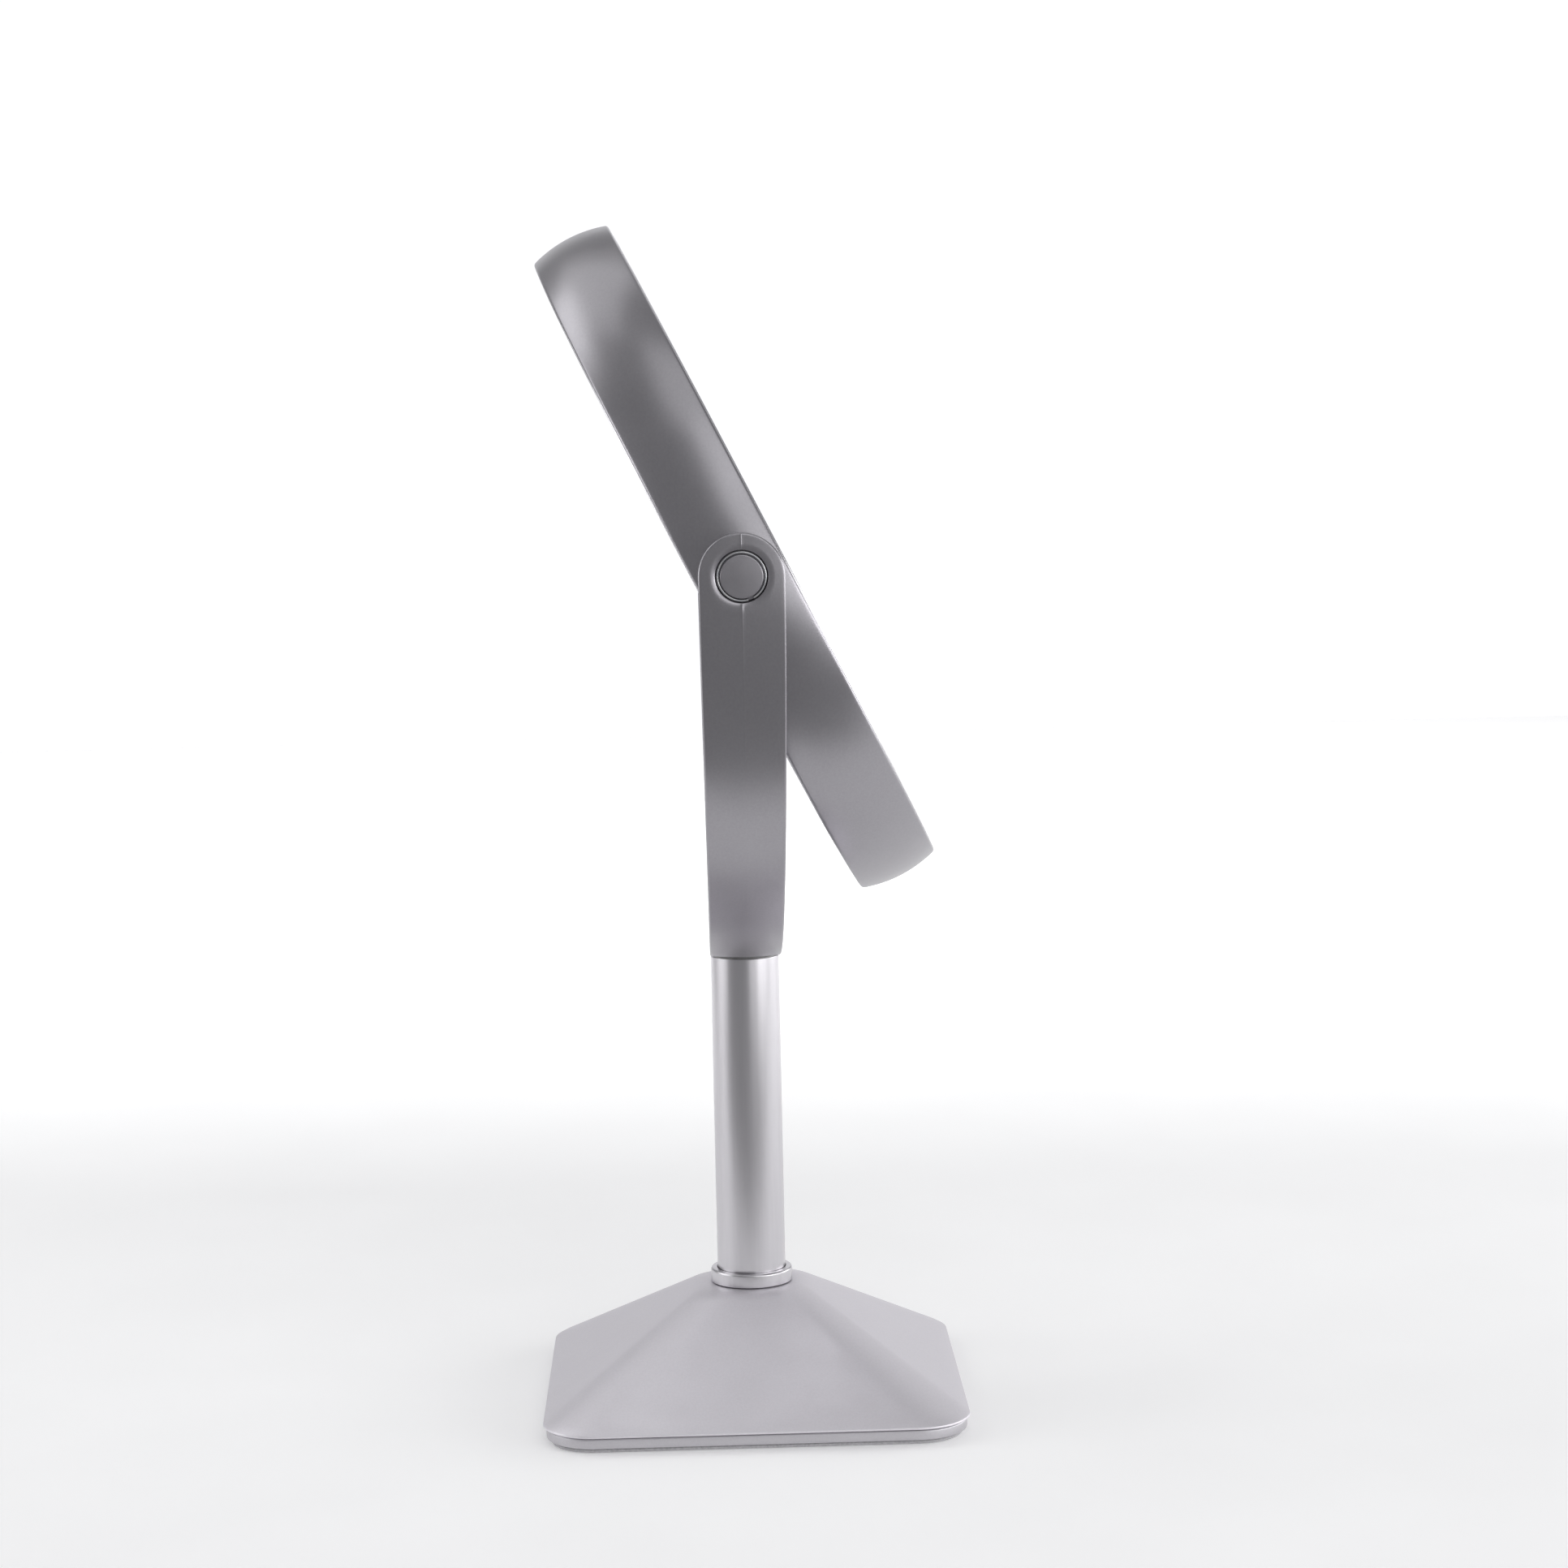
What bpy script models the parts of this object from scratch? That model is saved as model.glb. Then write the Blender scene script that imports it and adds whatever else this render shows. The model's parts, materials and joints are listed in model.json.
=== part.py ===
"""Extendable shaving mirror: a two-sided round mirror head in a half-ring yoke, on a telescopic tube
that stands on a weighted square base. Metres, +Z up, the origin at the middle of the base's underside.
The yoke's pivot axis runs along X, and the plain mirror faces -Y, leaning back to look upwards."""

from math import atan2, cos, hypot, pi, radians, sin, sqrt

import bmesh
import bpy
from mathutils import Vector

# ---------------------------------------------------------------- driving dimensions

GAP = 0.0003  # between pieces that rest on or in one another

# Head: a drum with a crowned rim, a plain mirror in front and a magnifying mirror behind
HEAD_RADIUS = 0.1018  # at the crest of the rim
RIM_CROWN = 0.0019  # how far the crest stands out from the rim's two edges
RIM_WIDTH = 0.0233
RIM_WALL = 0.0030  # at the rim's edges
BEZEL_PROUD = 0.0003
BEZEL_WALL = 0.0018
BEZEL_LIP = 0.0052  # how far a bezel reaches in from its outer edge
LIP_THICKNESS = 0.00075
BEZEL_EDGE = 0.0004
GLASS = 0.0027
MAGNIFIER_DEPTH = 0.0050  # hollow of the magnifying mirror at its middle
WEB_THICKNESS = 0.0030
LEDGE_WIDTH = 0.0084  # of the flange inside the rim, which the core is screwed to
LEDGE_THICKNESS = 0.0030
GLASS_CLEARANCE = 0.0006  # round the glass, in the bezel
SKIRT_REACH = 0.0008  # of the bezel past the back of the glass
FOAM_THICKNESS = 0.0010
FOAM_MARGIN = 0.0100
TAPE_THICKNESS = 0.0006
TAPE_MARGIN = 0.0020  # in from the retainer's inner edge and from the glass's outer edge
RETAINER_OVERLAP = 0.0085  # of the retainer ring inside the ledge
CORE_HEAD_ROOM = 0.0018  # depth of the recesses for the core screws' heads
CORE_SCREW_TIP = 0.0012  # from a core screw's tip to the front of the core plate
RIM_ROUND = 0.0010
HEAD_TILT = radians(26.5)  # how far the head leans back

# Yoke: a half ring of flat section
YOKE_THICKNESS = 0.0060
YOKE_CLEARANCE = 0.0056  # from the rim's crest to the inside of the yoke
YOKE_FILLET = 0.0009

# Pivots
PIVOT_THREAD_RADIUS = 0.0022
SHOULDER_STEP = 0.0007  # from the pivot screw's thread out to its shoulder
PIVOT_HEAD_STEP = 0.0016  # from the shoulder out to the screw's head
PIVOT_HEAD_DEPTH = 0.0016
SHAFT_CLEARANCE = 0.0004  # round the shoulder, in the yoke
CAP_CLEARANCE = 0.0005  # round the screw's head, in the cap
CAP_WALL = 0.0005
CAP_EDGE = 0.0002
CAP_SUNK = 0.0001  # how far the cap lies below the yoke's outer face
CLIP_GROOVE = 0.0012  # width of the groove between the cap and the yoke
CLIP_WIRE = 0.0003  # radius of the split ring's wire
CLIP_DEPTH = 0.0010  # from the cap's top down to the middle of the wire
COUNTERBORE_DEPTH = 0.0028
HUB_FLANGE_RADIUS = 0.0080
HUB_FLANGE_THICKNESS = 0.0022
HUB_BARREL_WALL = 0.0025
HUB_BARREL_LENGTH = 0.0100
WASHER_RADIUS = 0.0068
SPRING_WASHER_THICKNESS = 0.0007
FRICTION_WASHER_THICKNESS = 0.0012
NUT_WALL = 0.0020
NUT_THICKNESS = 0.0018
NUT_CLEARANCE = 0.0008  # round the nut and past the end of the hub
ARM_MARGIN = 0.00435  # from the counterbore out to the edge of the arm

# Column
TUBE_RADIUS = 0.00985
TUBE_WALL = 0.0012
TUBE_LENGTH = 0.1161
INNER_TUBE_WALL = 0.0010
BUSH_WALL = 0.00155
BUSH_LENGTH = 0.0140
BUSH_LIP = 0.0010
SLIDER_LENGTH = 0.0100
SLIDER_SPIGOT = 0.0060
SLIDER_CLEARANCE = 0.0034  # from the foot plug to the slider when the mirror is right down
SLIDER_SEAT = 0.0022  # depth of the hole for the slider screw's head
GRIP_WIRE = 0.0006  # radius of the rubber ring's section
GRIP_DROP = 0.0035  # from the slider's top down to its groove
GRIP_GROOVE_WIDTH = 0.0020
GRIP_GROOVE_DEPTH = 0.0015
PLUG_LENGTH = 0.0120
INSERT_LENGTH = 0.0100
SOCKET_DEPTH = 0.0025
YOKE_SCREW_RADIUS = 0.0017
YOKE_SCREW_SINK = 0.0019  # depth of the screw's countersunk head, and how far it widens
YOKE_SCREW_REACH = 0.0070  # below the top of the inner tube
FOOT_OVERHANG = 0.0002  # of the yoke's foot past the outer tube
COLLAR_WALL = 0.00195
COLLAR_HEIGHT = 0.0039
COLLAR_EDGE = 0.0007  # its rounded upper edge
ANCHOR_RADIUS = 0.0027
ANCHOR_HEAD_STEP = 0.0023  # from the anchor bolt's shank out to its head
ANCHOR_HEAD_DEPTH = 0.0032
ANCHOR_REACH = 0.0015  # from the bolt's tip up to the foot plug's top
ANCHOR_WASHER_STEP = 0.0012  # from the bolt's head out to the washer's edge
ANCHOR_WASHER_THICKNESS = 0.0008
ANCHOR_POCKET_DEPTH = 0.0050
ANCHOR_POCKET_CLEARANCE = 0.0006  # round the washer

# Base
BASE_SIDE = 0.1192
BASE_CORNER = 0.0150
COVER_HEIGHT = 0.0284
COVER_LIP = 0.0008
COVER_WALL = 0.0020
APEX_MARGIN = 0.0032  # of the cover's flat top round the collar
APEX_ROUNDNESS = 0.6  # its corner radius as a share of half its side
PLINTH_INSET = 0.0009
PAN_DEPTH = 0.0029
PAN_FLOOR = 0.0014
PAN_WALL = 0.0030
PAD_THICKNESS = 0.0010
PAD_INSET = 0.0012
WEIGHT_THICKNESS = 0.0080
WEIGHT_CLEARANCE = 0.0014  # from the edge of the weight up to the cover
WEIGHT_EDGE = 0.0006
SCREW_RADIUS = 0.0014
SCREW_HEAD_RADIUS = 0.0027
SCREW_HEAD_DEPTH = 0.0011
SCREW_SINK = 0.0002  # from a base screw's head to the pan's underside
BOSS_RADIUS = 0.0034
BOSS_ROOT = 0.0004  # from the top of a boss up to the cover's outer face
BOSS_SKIN = 0.0010  # left above a boss's hole
PILLAR_STEP = 0.0010  # by which the pan's pillars are wider than the bosses that stand on them
HOLE_CLEARANCE = 0.00035  # round every screw
OVERCUT = 0.0020  # by which a cutter runs past the face that it opens

# Facets in a full turn
FINE = 48
MEDIUM = 28
SMALL = 16
HIDDEN = 10

# ---------------------------------------------------------------- sizes and heights that follow

PAN_BOTTOM = PAD_THICKNESS + GAP
PAN_TOP = PAN_BOTTOM + PAN_DEPTH
COVER_BOTTOM = PAN_TOP + GAP
COVER_TOP = COVER_BOTTOM + COVER_HEIGHT
WEIGHT_BOTTOM = PAN_BOTTOM + PAN_FLOOR + GAP
WEIGHT_TOP = WEIGHT_BOTTOM + WEIGHT_THICKNESS
TUBE_BOTTOM = WEIGHT_TOP + GAP
TUBE_TOP = TUBE_BOTTOM + TUBE_LENGTH
PLUG_BOTTOM = TUBE_BOTTOM + GAP
PLUG_TOP = PLUG_BOTTOM + PLUG_LENGTH
SLIDER_BOTTOM = PLUG_TOP + SLIDER_CLEARANCE
SLIDER_TOP = SLIDER_BOTTOM + SLIDER_LENGTH
BUSH_TOP = TUBE_TOP + GAP + BUSH_LIP
YOKE_BOTTOM = BUSH_TOP + GAP
YOKE_INNER_RADIUS = HEAD_RADIUS + YOKE_CLEARANCE
YOKE_RADIUS = YOKE_INNER_RADIUS + YOKE_THICKNESS
PIVOT_HEIGHT = YOKE_BOTTOM + YOKE_RADIUS
INNER_TUBE_TOP = YOKE_BOTTOM + SOCKET_DEPTH - GAP
TUBE_BORE = TUBE_RADIUS - TUBE_WALL
INNER_TUBE_RADIUS = TUBE_BORE - 2 * GAP - BUSH_WALL
INNER_TUBE_BORE = INNER_TUBE_RADIUS - INNER_TUBE_WALL
COLLAR_RADIUS = TUBE_RADIUS + COLLAR_WALL
FOOT_HALF_WIDTH = TUBE_RADIUS + FOOT_OVERHANG  # of the yoke, at its bottom
SHOULDER_RADIUS = PIVOT_THREAD_RADIUS + SHOULDER_STEP
PIVOT_HEAD_RADIUS = SHOULDER_RADIUS + PIVOT_HEAD_STEP
CAP_RADIUS = PIVOT_HEAD_RADIUS + CAP_CLEARANCE + CAP_WALL
COUNTERBORE_RADIUS = CAP_RADIUS + CLIP_GROOVE
ARM_HALF_WIDTH = COUNTERBORE_RADIUS + ARM_MARGIN  # at the pivots, and the radius of the arm's end
HUB_BARREL_RADIUS = PIVOT_THREAD_RADIUS + GAP + HUB_BARREL_WALL
NUT_RADIUS = HUB_BARREL_RADIUS + NUT_WALL
HALF_BASE = BASE_SIDE / 2
APEX_HALF = COLLAR_RADIUS + APEX_MARGIN  # of the flat on top of the base cover, which the collar stands on
APEX_CORNER = APEX_ROUNDNESS * APEX_HALF
COVER_INSIDE = HALF_BASE - COVER_WALL

# ---------------------------------------------------------------- tools

for old in list(bpy.data.objects):
    bpy.data.objects.remove(old, do_unlink=True)

parts = bpy.data.collections.new("extendable_shaving_mirror")
cutters = bpy.data.collections.new("cutters")
bpy.context.scene.collection.children.link(parts)
bpy.context.scene.collection.children.link(cutters)
cutters.hide_render = True


def finish(name, colour, roughness, metallic):
    """A plain material with the piece's colour, roughness and metallic value."""
    made = bpy.data.materials.new(name)
    made.use_nodes = True
    shader = made.node_tree.nodes["Principled BSDF"]
    shader.inputs["Base Color"].default_value = (*colour, 1.0)
    shader.inputs["Roughness"].default_value = roughness
    shader.inputs["Metallic"].default_value = metallic
    return made


SILVER = finish("silver_paint", (0.55, 0.54, 0.57), 0.38, 0.8)
SATIN = finish("satin_chrome", (0.66, 0.65, 0.68), 0.25, 1.0)
CHROME = finish("polished_chrome", (0.80, 0.80, 0.82), 0.10, 1.0)
MIRROR = finish("silvered_glass", (0.90, 0.91, 0.92), 0.02, 1.0)
STEEL = finish("zinc_plated_steel", (0.60, 0.61, 0.62), 0.30, 1.0)
IRON = finish("cast_iron", (0.16, 0.16, 0.17), 0.70, 0.6)
BRASS = finish("brass", (0.72, 0.55, 0.27), 0.30, 1.0)
WHITE_NYLON = finish("white_nylon", (0.82, 0.82, 0.80), 0.45, 0.0)
BLACK_PLASTIC = finish("black_plastic", (0.05, 0.05, 0.05), 0.50, 0.0)
RUBBER = finish("black_rubber", (0.04, 0.04, 0.04), 0.80, 0.0)
GREY_FOAM = finish("grey_foam", (0.42, 0.42, 0.43), 0.90, 0.0)


def new_object(name, mesh, material=None):
    """A part when it has a material, otherwise a cutter that no render shows."""
    made = bpy.data.objects.new(name, mesh)
    if material:
        made.data.materials.append(material)
        parts.objects.link(made)
        return made
    cutters.objects.link(made)
    made.hide_render = True
    made.display_type = "WIRE"
    return made


def turned(name, profile, material=None, facets=SMALL):
    """A turned shape about local Z. The profile is (radius, height) pairs down the outer side.
    One that starts and ends on the axis is a solid, and any other is closed into a ring."""
    shape = bmesh.new()
    points = [shape.verts.new((radius, 0.0, height)) for radius, height in profile]
    for first, second in zip(points, points[1:]):
        shape.edges.new((first, second))
    if profile[0][0] > 0:
        shape.edges.new((points[-1], points[0]))
    mesh = bpy.data.meshes.new(name)
    shape.to_mesh(mesh)
    shape.free()
    made = new_object(name, mesh, material)
    spin = made.modifiers.new("Turn", "SCREW")
    spin.steps = spin.render_steps = facets
    spin.use_merge_vertices = True
    spin.merge_threshold = 1e-6
    spin.use_smooth_shade = False
    return made


def disc(radius, top, bottom):
    return [(0.0, top), (radius, top), (radius, bottom), (0.0, bottom)]


def ring(inner, outer, top, bottom):
    return [(inner, top), (outer, top), (outer, bottom), (inner, bottom)]


def plate(name, outline, low, high, material=None, along="Z"):
    """A flat outline, a list of points in its own plane, as a filled curve made into a mesh."""
    curve = bpy.data.curves.new(name, "CURVE")
    curve.dimensions = "2D"
    curve.fill_mode = "BOTH"
    curve.extrude = (high - low) / 2
    spline = curve.splines.new("POLY")
    spline.points.add(len(outline) - 1)
    for point, (x, y) in zip(spline.points, outline):
        point.co = (x, y, 0.0, 1.0)
    spline.use_cyclic_u = True
    flat = bpy.data.objects.new(name + "_outline", curve)
    parts.objects.link(flat)
    bpy.context.view_layer.update()
    mesh = bpy.data.meshes.new_from_object(flat.evaluated_get(bpy.context.evaluated_depsgraph_get()))
    bpy.data.objects.remove(flat, do_unlink=True)
    shape = bmesh.new()
    shape.from_mesh(mesh)
    bmesh.ops.remove_doubles(shape, verts=shape.verts, dist=1e-6)
    bmesh.ops.recalc_face_normals(shape, faces=shape.faces)
    middle = (low + high) / 2
    for vert in shape.verts:
        x, y, z = vert.co
        vert.co = {
            "Z": (x, y, z + middle),
            "Y": (x, -z - middle, y),
            "X": (z + middle, x, y),
        }[along]
    shape.to_mesh(mesh)
    shape.free()
    mesh.name = name
    mesh.materials.clear()
    return new_object(name, mesh, material)


def arc(centre, radius, start, end, steps):
    """Points along an arc, its two ends included, with the angles in degrees."""
    turns = [radians(start + (end - start) * step / steps) for step in range(steps + 1)]
    return [(centre[0] + radius * cos(turn), centre[1] + radius * sin(turn)) for turn in turns]


def rounded_square(half, corner, steps=5):
    """The outline of a square with round corners."""
    inner = half - corner
    points = []
    for quarter in range(4):
        middle = ((1, 1), (-1, 1), (-1, -1), (1, -1))[quarter]
        centre = (middle[0] * inner, middle[1] * inner)
        points += arc(centre, corner, 90 * quarter, 90 * quarter + 90, steps)
    return points


def boolean(target, operation, tool):
    step = target.modifiers.new(operation.title(), "BOOLEAN")
    step.operation = operation
    step.object = tool
    return step


def aim(obj, side):
    """Turns a piece's own Z out along the pivot axis, to the left (-X) or right (+X), on that axis."""
    obj.rotation_euler = (0.0, side * pi / 2, 0.0)
    obj.location = (0.0, 0.0, PIVOT_HEIGHT)
    return obj


def hang(children, parent):
    """Parents pieces to an empty and leaves them where they are."""
    bpy.context.view_layer.update()
    for child in children:
        child.parent = parent
        child.matrix_parent_inverse = parent.matrix_world.inverted()


def empty(name, location):
    made = bpy.data.objects.new(name, None)
    made.location = location
    made.empty_display_size = 0.02
    parts.objects.link(made)
    return made


def screw(name, head_radius, head_depth, shank_radius, tip, material=STEEL, facets=HIDDEN):
    """A screw with its head below local 0 and its shank up to tip."""
    head = [(0.0, tip), (shank_radius, tip), (shank_radius, 0.0), (head_radius, 0.0)]
    return turned(name, head + [(head_radius, -head_depth), (0.0, -head_depth)], material, facets)


# ---------------------------------------------------------------- base

screw_places = [
    (x * (HALF_BASE - BASE_CORNER), y * (HALF_BASE - BASE_CORNER)) for x in (-1, 1) for y in (-1, 1)
]
pan_half = HALF_BASE - PLINTH_INSET
pan_corner = BASE_CORNER - PLINTH_INSET
hole_radius = SCREW_RADIUS + HOLE_CLEARANCE
recess_radius = SCREW_HEAD_RADIUS + HOLE_CLEARANCE
screw_head_top = PAN_BOTTOM + SCREW_HEAD_DEPTH + SCREW_SINK


def make_pad():
    """Foam pad under the whole base, which it stands on."""
    half = pan_half - PAD_INSET
    plate("base_pad", rounded_square(half, pan_corner - PAD_INSET), 0.0, PAD_THICKNESS, GREY_FOAM)


def make_pan():
    """Shallow tray that closes the base from below, with a pillar round each screw."""
    pan = plate("bottom_pan", rounded_square(pan_half, pan_corner), PAN_BOTTOM, PAN_TOP, SILVER)
    inside = rounded_square(pan_half - PAN_WALL, pan_corner - PAN_WALL)
    recess = plate("pan_recess", inside, PAN_BOTTOM + PAN_FLOOR, PAN_TOP + OVERCUT)
    boolean(pan, "DIFFERENCE", recess)
    for index, (x, y) in enumerate(screw_places, 1):
        pillar_foot = PAN_BOTTOM + PAN_FLOOR / 2
        pillar = turned(f"pan_pillar_{index}", disc(BOSS_RADIUS + PILLAR_STEP, PAN_TOP, pillar_foot))
        hole = turned(
            f"pan_hole_{index}",
            [
                (0.0, PAN_TOP + OVERCUT),
                (hole_radius, PAN_TOP + OVERCUT),
                (hole_radius, screw_head_top + GAP),
                (recess_radius, screw_head_top + GAP),
                (recess_radius, PAN_BOTTOM - OVERCUT),
                (0.0, PAN_BOTTOM - OVERCUT),
            ],
        )
        pillar.location = hole.location = (x, y, 0.0)
        boolean(pan, "UNION", pillar)
        boolean(pan, "DIFFERENCE", hole)


def make_cover():
    """Pressed shell that rises from the square rim to a small rounded square round the collar: four
    flat faces, with a piece of a slanting cone at each corner."""
    steps = 5
    hole = TUBE_RADIUS + GAP
    turns = [radians(90 * quarter + 90 * step / steps) for quarter in range(4) for step in range(steps + 1)]
    rim = rounded_square(HALF_BASE, BASE_CORNER, steps)
    rim_inside = rounded_square(COVER_INSIDE, BASE_CORNER - COVER_WALL, steps)
    apex = rounded_square(APEX_HALF, APEX_CORNER, steps)
    edge = [(hole * cos(turn), hole * sin(turn)) for turn in turns]
    under = COVER_TOP - COVER_WALL
    sections = [
        (rim, COVER_BOTTOM),
        (rim, COVER_BOTTOM + COVER_LIP),
        (apex, COVER_TOP),
        (edge, COVER_TOP),
        (edge, under),
        (apex, under),
        (rim_inside, COVER_BOTTOM),
    ]
    shape = bmesh.new()
    loops = [[shape.verts.new((x, y, height)) for x, y in outline] for outline, height in sections]
    for here, after in zip(loops, loops[1:] + loops[:1]):
        for index in range(len(here)):
            following = (index + 1) % len(here)
            shape.faces.new((here[index], here[following], after[following], after[index]))
    bmesh.ops.remove_doubles(shape, verts=shape.verts, dist=1e-6)
    bmesh.ops.recalc_face_normals(shape, faces=shape.faces)
    mesh = bpy.data.meshes.new("base_cover")
    shape.to_mesh(mesh)
    shape.free()
    cover = new_object("base_cover", mesh, SILVER)
    # The roof falls from the apex to the corner of the rim along each hip.
    corner_reach = (HALF_BASE - BASE_CORNER) * sqrt(2) + BASE_CORNER
    apex_reach = (APEX_HALF - APEX_CORNER) * sqrt(2) + APEX_CORNER
    slope = (COVER_TOP - COVER_BOTTOM - COVER_LIP) / (corner_reach - apex_reach)
    for index, (x, y) in enumerate(screw_places, 1):
        roof = COVER_BOTTOM + COVER_LIP + slope * (corner_reach - hypot(x, y) - BOSS_RADIUS)
        boss = turned(f"cover_boss_{index}", disc(BOSS_RADIUS, roof - BOSS_ROOT, COVER_BOTTOM))
        hole_top = roof - BOSS_ROOT - BOSS_SKIN
        pilot = turned(f"cover_pilot_{index}", disc(hole_radius, hole_top, COVER_BOTTOM - OVERCUT))
        boss.location = pilot.location = (x, y, 0.0)
        boolean(cover, "UNION", boss)
        boolean(cover, "DIFFERENCE", pilot)
        tip = hole_top - GAP - screw_head_top
        fixing = screw(f"base_screw_{index}", SCREW_HEAD_RADIUS, SCREW_HEAD_DEPTH, SCREW_RADIUS, tip)
        fixing.location = (x, y, screw_head_top)


def make_weight():
    """Cast disc that keeps the mirror from tipping, bored for the anchor bolt and its washer. It is as
    wide as the cover's slope leaves room for."""
    cover_slope = (COVER_TOP - COVER_WALL - COVER_BOTTOM) / (COVER_INSIDE - APEX_HALF)
    radius = COVER_INSIDE - (WEIGHT_TOP + WEIGHT_CLEARANCE - COVER_BOTTOM) / cover_slope
    bolt_hole = ANCHOR_RADIUS + HOLE_CLEARANCE
    head = ANCHOR_RADIUS + ANCHOR_HEAD_STEP
    washer_edge = head + ANCHOR_WASHER_STEP
    pocket = washer_edge + ANCHOR_POCKET_CLEARANCE
    pocket_top = WEIGHT_BOTTOM + ANCHOR_POCKET_DEPTH
    turned(
        "ballast_weight",
        [
            (bolt_hole, WEIGHT_TOP),
            (radius - WEIGHT_EDGE, WEIGHT_TOP),
            (radius, WEIGHT_TOP - WEIGHT_EDGE),
            (radius, WEIGHT_BOTTOM),
            (pocket, WEIGHT_BOTTOM),
            (pocket, pocket_top),
            (bolt_hole, pocket_top),
        ],
        IRON,
        MEDIUM,
    )
    washer_bottom = pocket_top - GAP - ANCHOR_WASHER_THICKNESS
    washer = ring(bolt_hole, washer_edge, pocket_top - GAP, washer_bottom)
    turned("anchor_washer", washer, STEEL, SMALL)
    head_top = washer_bottom - GAP
    tip = PLUG_TOP - ANCHOR_REACH - head_top
    bolt = screw("anchor_bolt", head, ANCHOR_HEAD_DEPTH, ANCHOR_RADIUS, tip)
    bolt.location = (0.0, 0.0, head_top)


make_pad()
make_pan()
make_cover()
make_weight()

# ---------------------------------------------------------------- column

bush_outer = TUBE_BORE - GAP
bush_bore = INNER_TUBE_RADIUS + GAP
slider_radius = TUBE_BORE - GAP
insert_radius = INNER_TUBE_BORE - GAP
thread_hole = SCREW_RADIUS + HOLE_CLEARANCE


def make_outer_tube():
    """Fixed tube with the plug that the anchor bolt pulls down, and the ring that trims its foot."""
    turned("outer_tube", ring(TUBE_BORE, TUBE_RADIUS, TUBE_TOP, TUBE_BOTTOM), SATIN, MEDIUM)
    plug_hole = ANCHOR_RADIUS + GAP
    turned("foot_plug", ring(plug_hole, TUBE_BORE - GAP, PLUG_TOP, PLUG_BOTTOM), STEEL, SMALL)
    foot = COVER_TOP + GAP
    bore = TUBE_RADIUS + GAP
    turned(
        "foot_collar",
        [
            (bore, foot + COLLAR_HEIGHT),
            (COLLAR_RADIUS - COLLAR_EDGE, foot + COLLAR_HEIGHT),
            (COLLAR_RADIUS - 0.3 * COLLAR_EDGE, foot + COLLAR_HEIGHT - 0.3 * COLLAR_EDGE),
            (COLLAR_RADIUS, foot + COLLAR_HEIGHT - COLLAR_EDGE),
            (COLLAR_RADIUS, foot),
            (bore, foot),
        ],
        SATIN,
        MEDIUM,
    )
    lip_bottom = BUSH_TOP - BUSH_LIP
    turned(
        "guide_bush",
        [
            (bush_bore, BUSH_TOP),
            (TUBE_RADIUS, BUSH_TOP),
            (TUBE_RADIUS, lip_bottom),
            (bush_outer, lip_bottom),
            (bush_outer, TUBE_TOP - BUSH_LENGTH),
            (bush_bore, TUBE_TOP - BUSH_LENGTH),
        ],
        WHITE_NYLON,
        MEDIUM,
    )


def make_slider():
    """Nylon plug that runs in the outer tube, with a rubber ring that grips its bore. The inner tube
    turns on the plug's spigot, held by a screw."""
    groove_top = SLIDER_TOP - GRIP_DROP
    groove_bottom = groove_top - GRIP_GROOVE_WIDTH
    groove = slider_radius - GRIP_GROOVE_DEPTH
    seat = SLIDER_BOTTOM + SLIDER_SEAT
    head_hole = recess_radius + 2 * GAP
    turned(
        "slider",
        [
            (thread_hole, SLIDER_TOP + SLIDER_SPIGOT),
            (insert_radius, SLIDER_TOP + SLIDER_SPIGOT),
            (insert_radius, SLIDER_TOP),
            (slider_radius, SLIDER_TOP),
            (slider_radius, groove_top),
            (groove, groove_top),
            (groove, groove_bottom),
            (slider_radius, groove_bottom),
            (slider_radius, SLIDER_BOTTOM),
            (head_hole, SLIDER_BOTTOM),
            (head_hole, seat),
            (thread_hole, seat),
        ],
        WHITE_NYLON,
        SMALL,
    )
    middle = (groove_top + groove_bottom) / 2
    section = arc((slider_radius - GRIP_WIRE, middle), GRIP_WIRE, 90, -225, 7)
    turned("grip_ring", section, RUBBER, SMALL)
    head_top = seat - GAP
    insert_bottom = SLIDER_TOP + SLIDER_SPIGOT + GAP
    insert_top = insert_bottom + INSERT_LENGTH
    tip = insert_top - 2 * GAP - head_top
    bolt = screw("slider_screw", SCREW_HEAD_RADIUS, SCREW_HEAD_DEPTH, SCREW_RADIUS, tip)
    bolt.location = (0.0, 0.0, head_top)
    turned("lower_insert", ring(thread_hole, insert_radius, insert_top, insert_bottom), BRASS, SMALL)


def make_inner_tube():
    """Sliding tube that carries the yoke, with a threaded insert in each end."""
    bottom = SLIDER_TOP + GAP
    turned("inner_tube", ring(INNER_TUBE_BORE, INNER_TUBE_RADIUS, INNER_TUBE_TOP, bottom), CHROME, MEDIUM)
    top = INNER_TUBE_TOP
    hole = YOKE_SCREW_RADIUS + GAP
    turned("upper_insert", ring(hole, insert_radius, top, top - INSERT_LENGTH), BRASS, SMALL)


make_outer_tube()
make_slider()
make_inner_tube()

# ---------------------------------------------------------------- yoke


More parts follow.
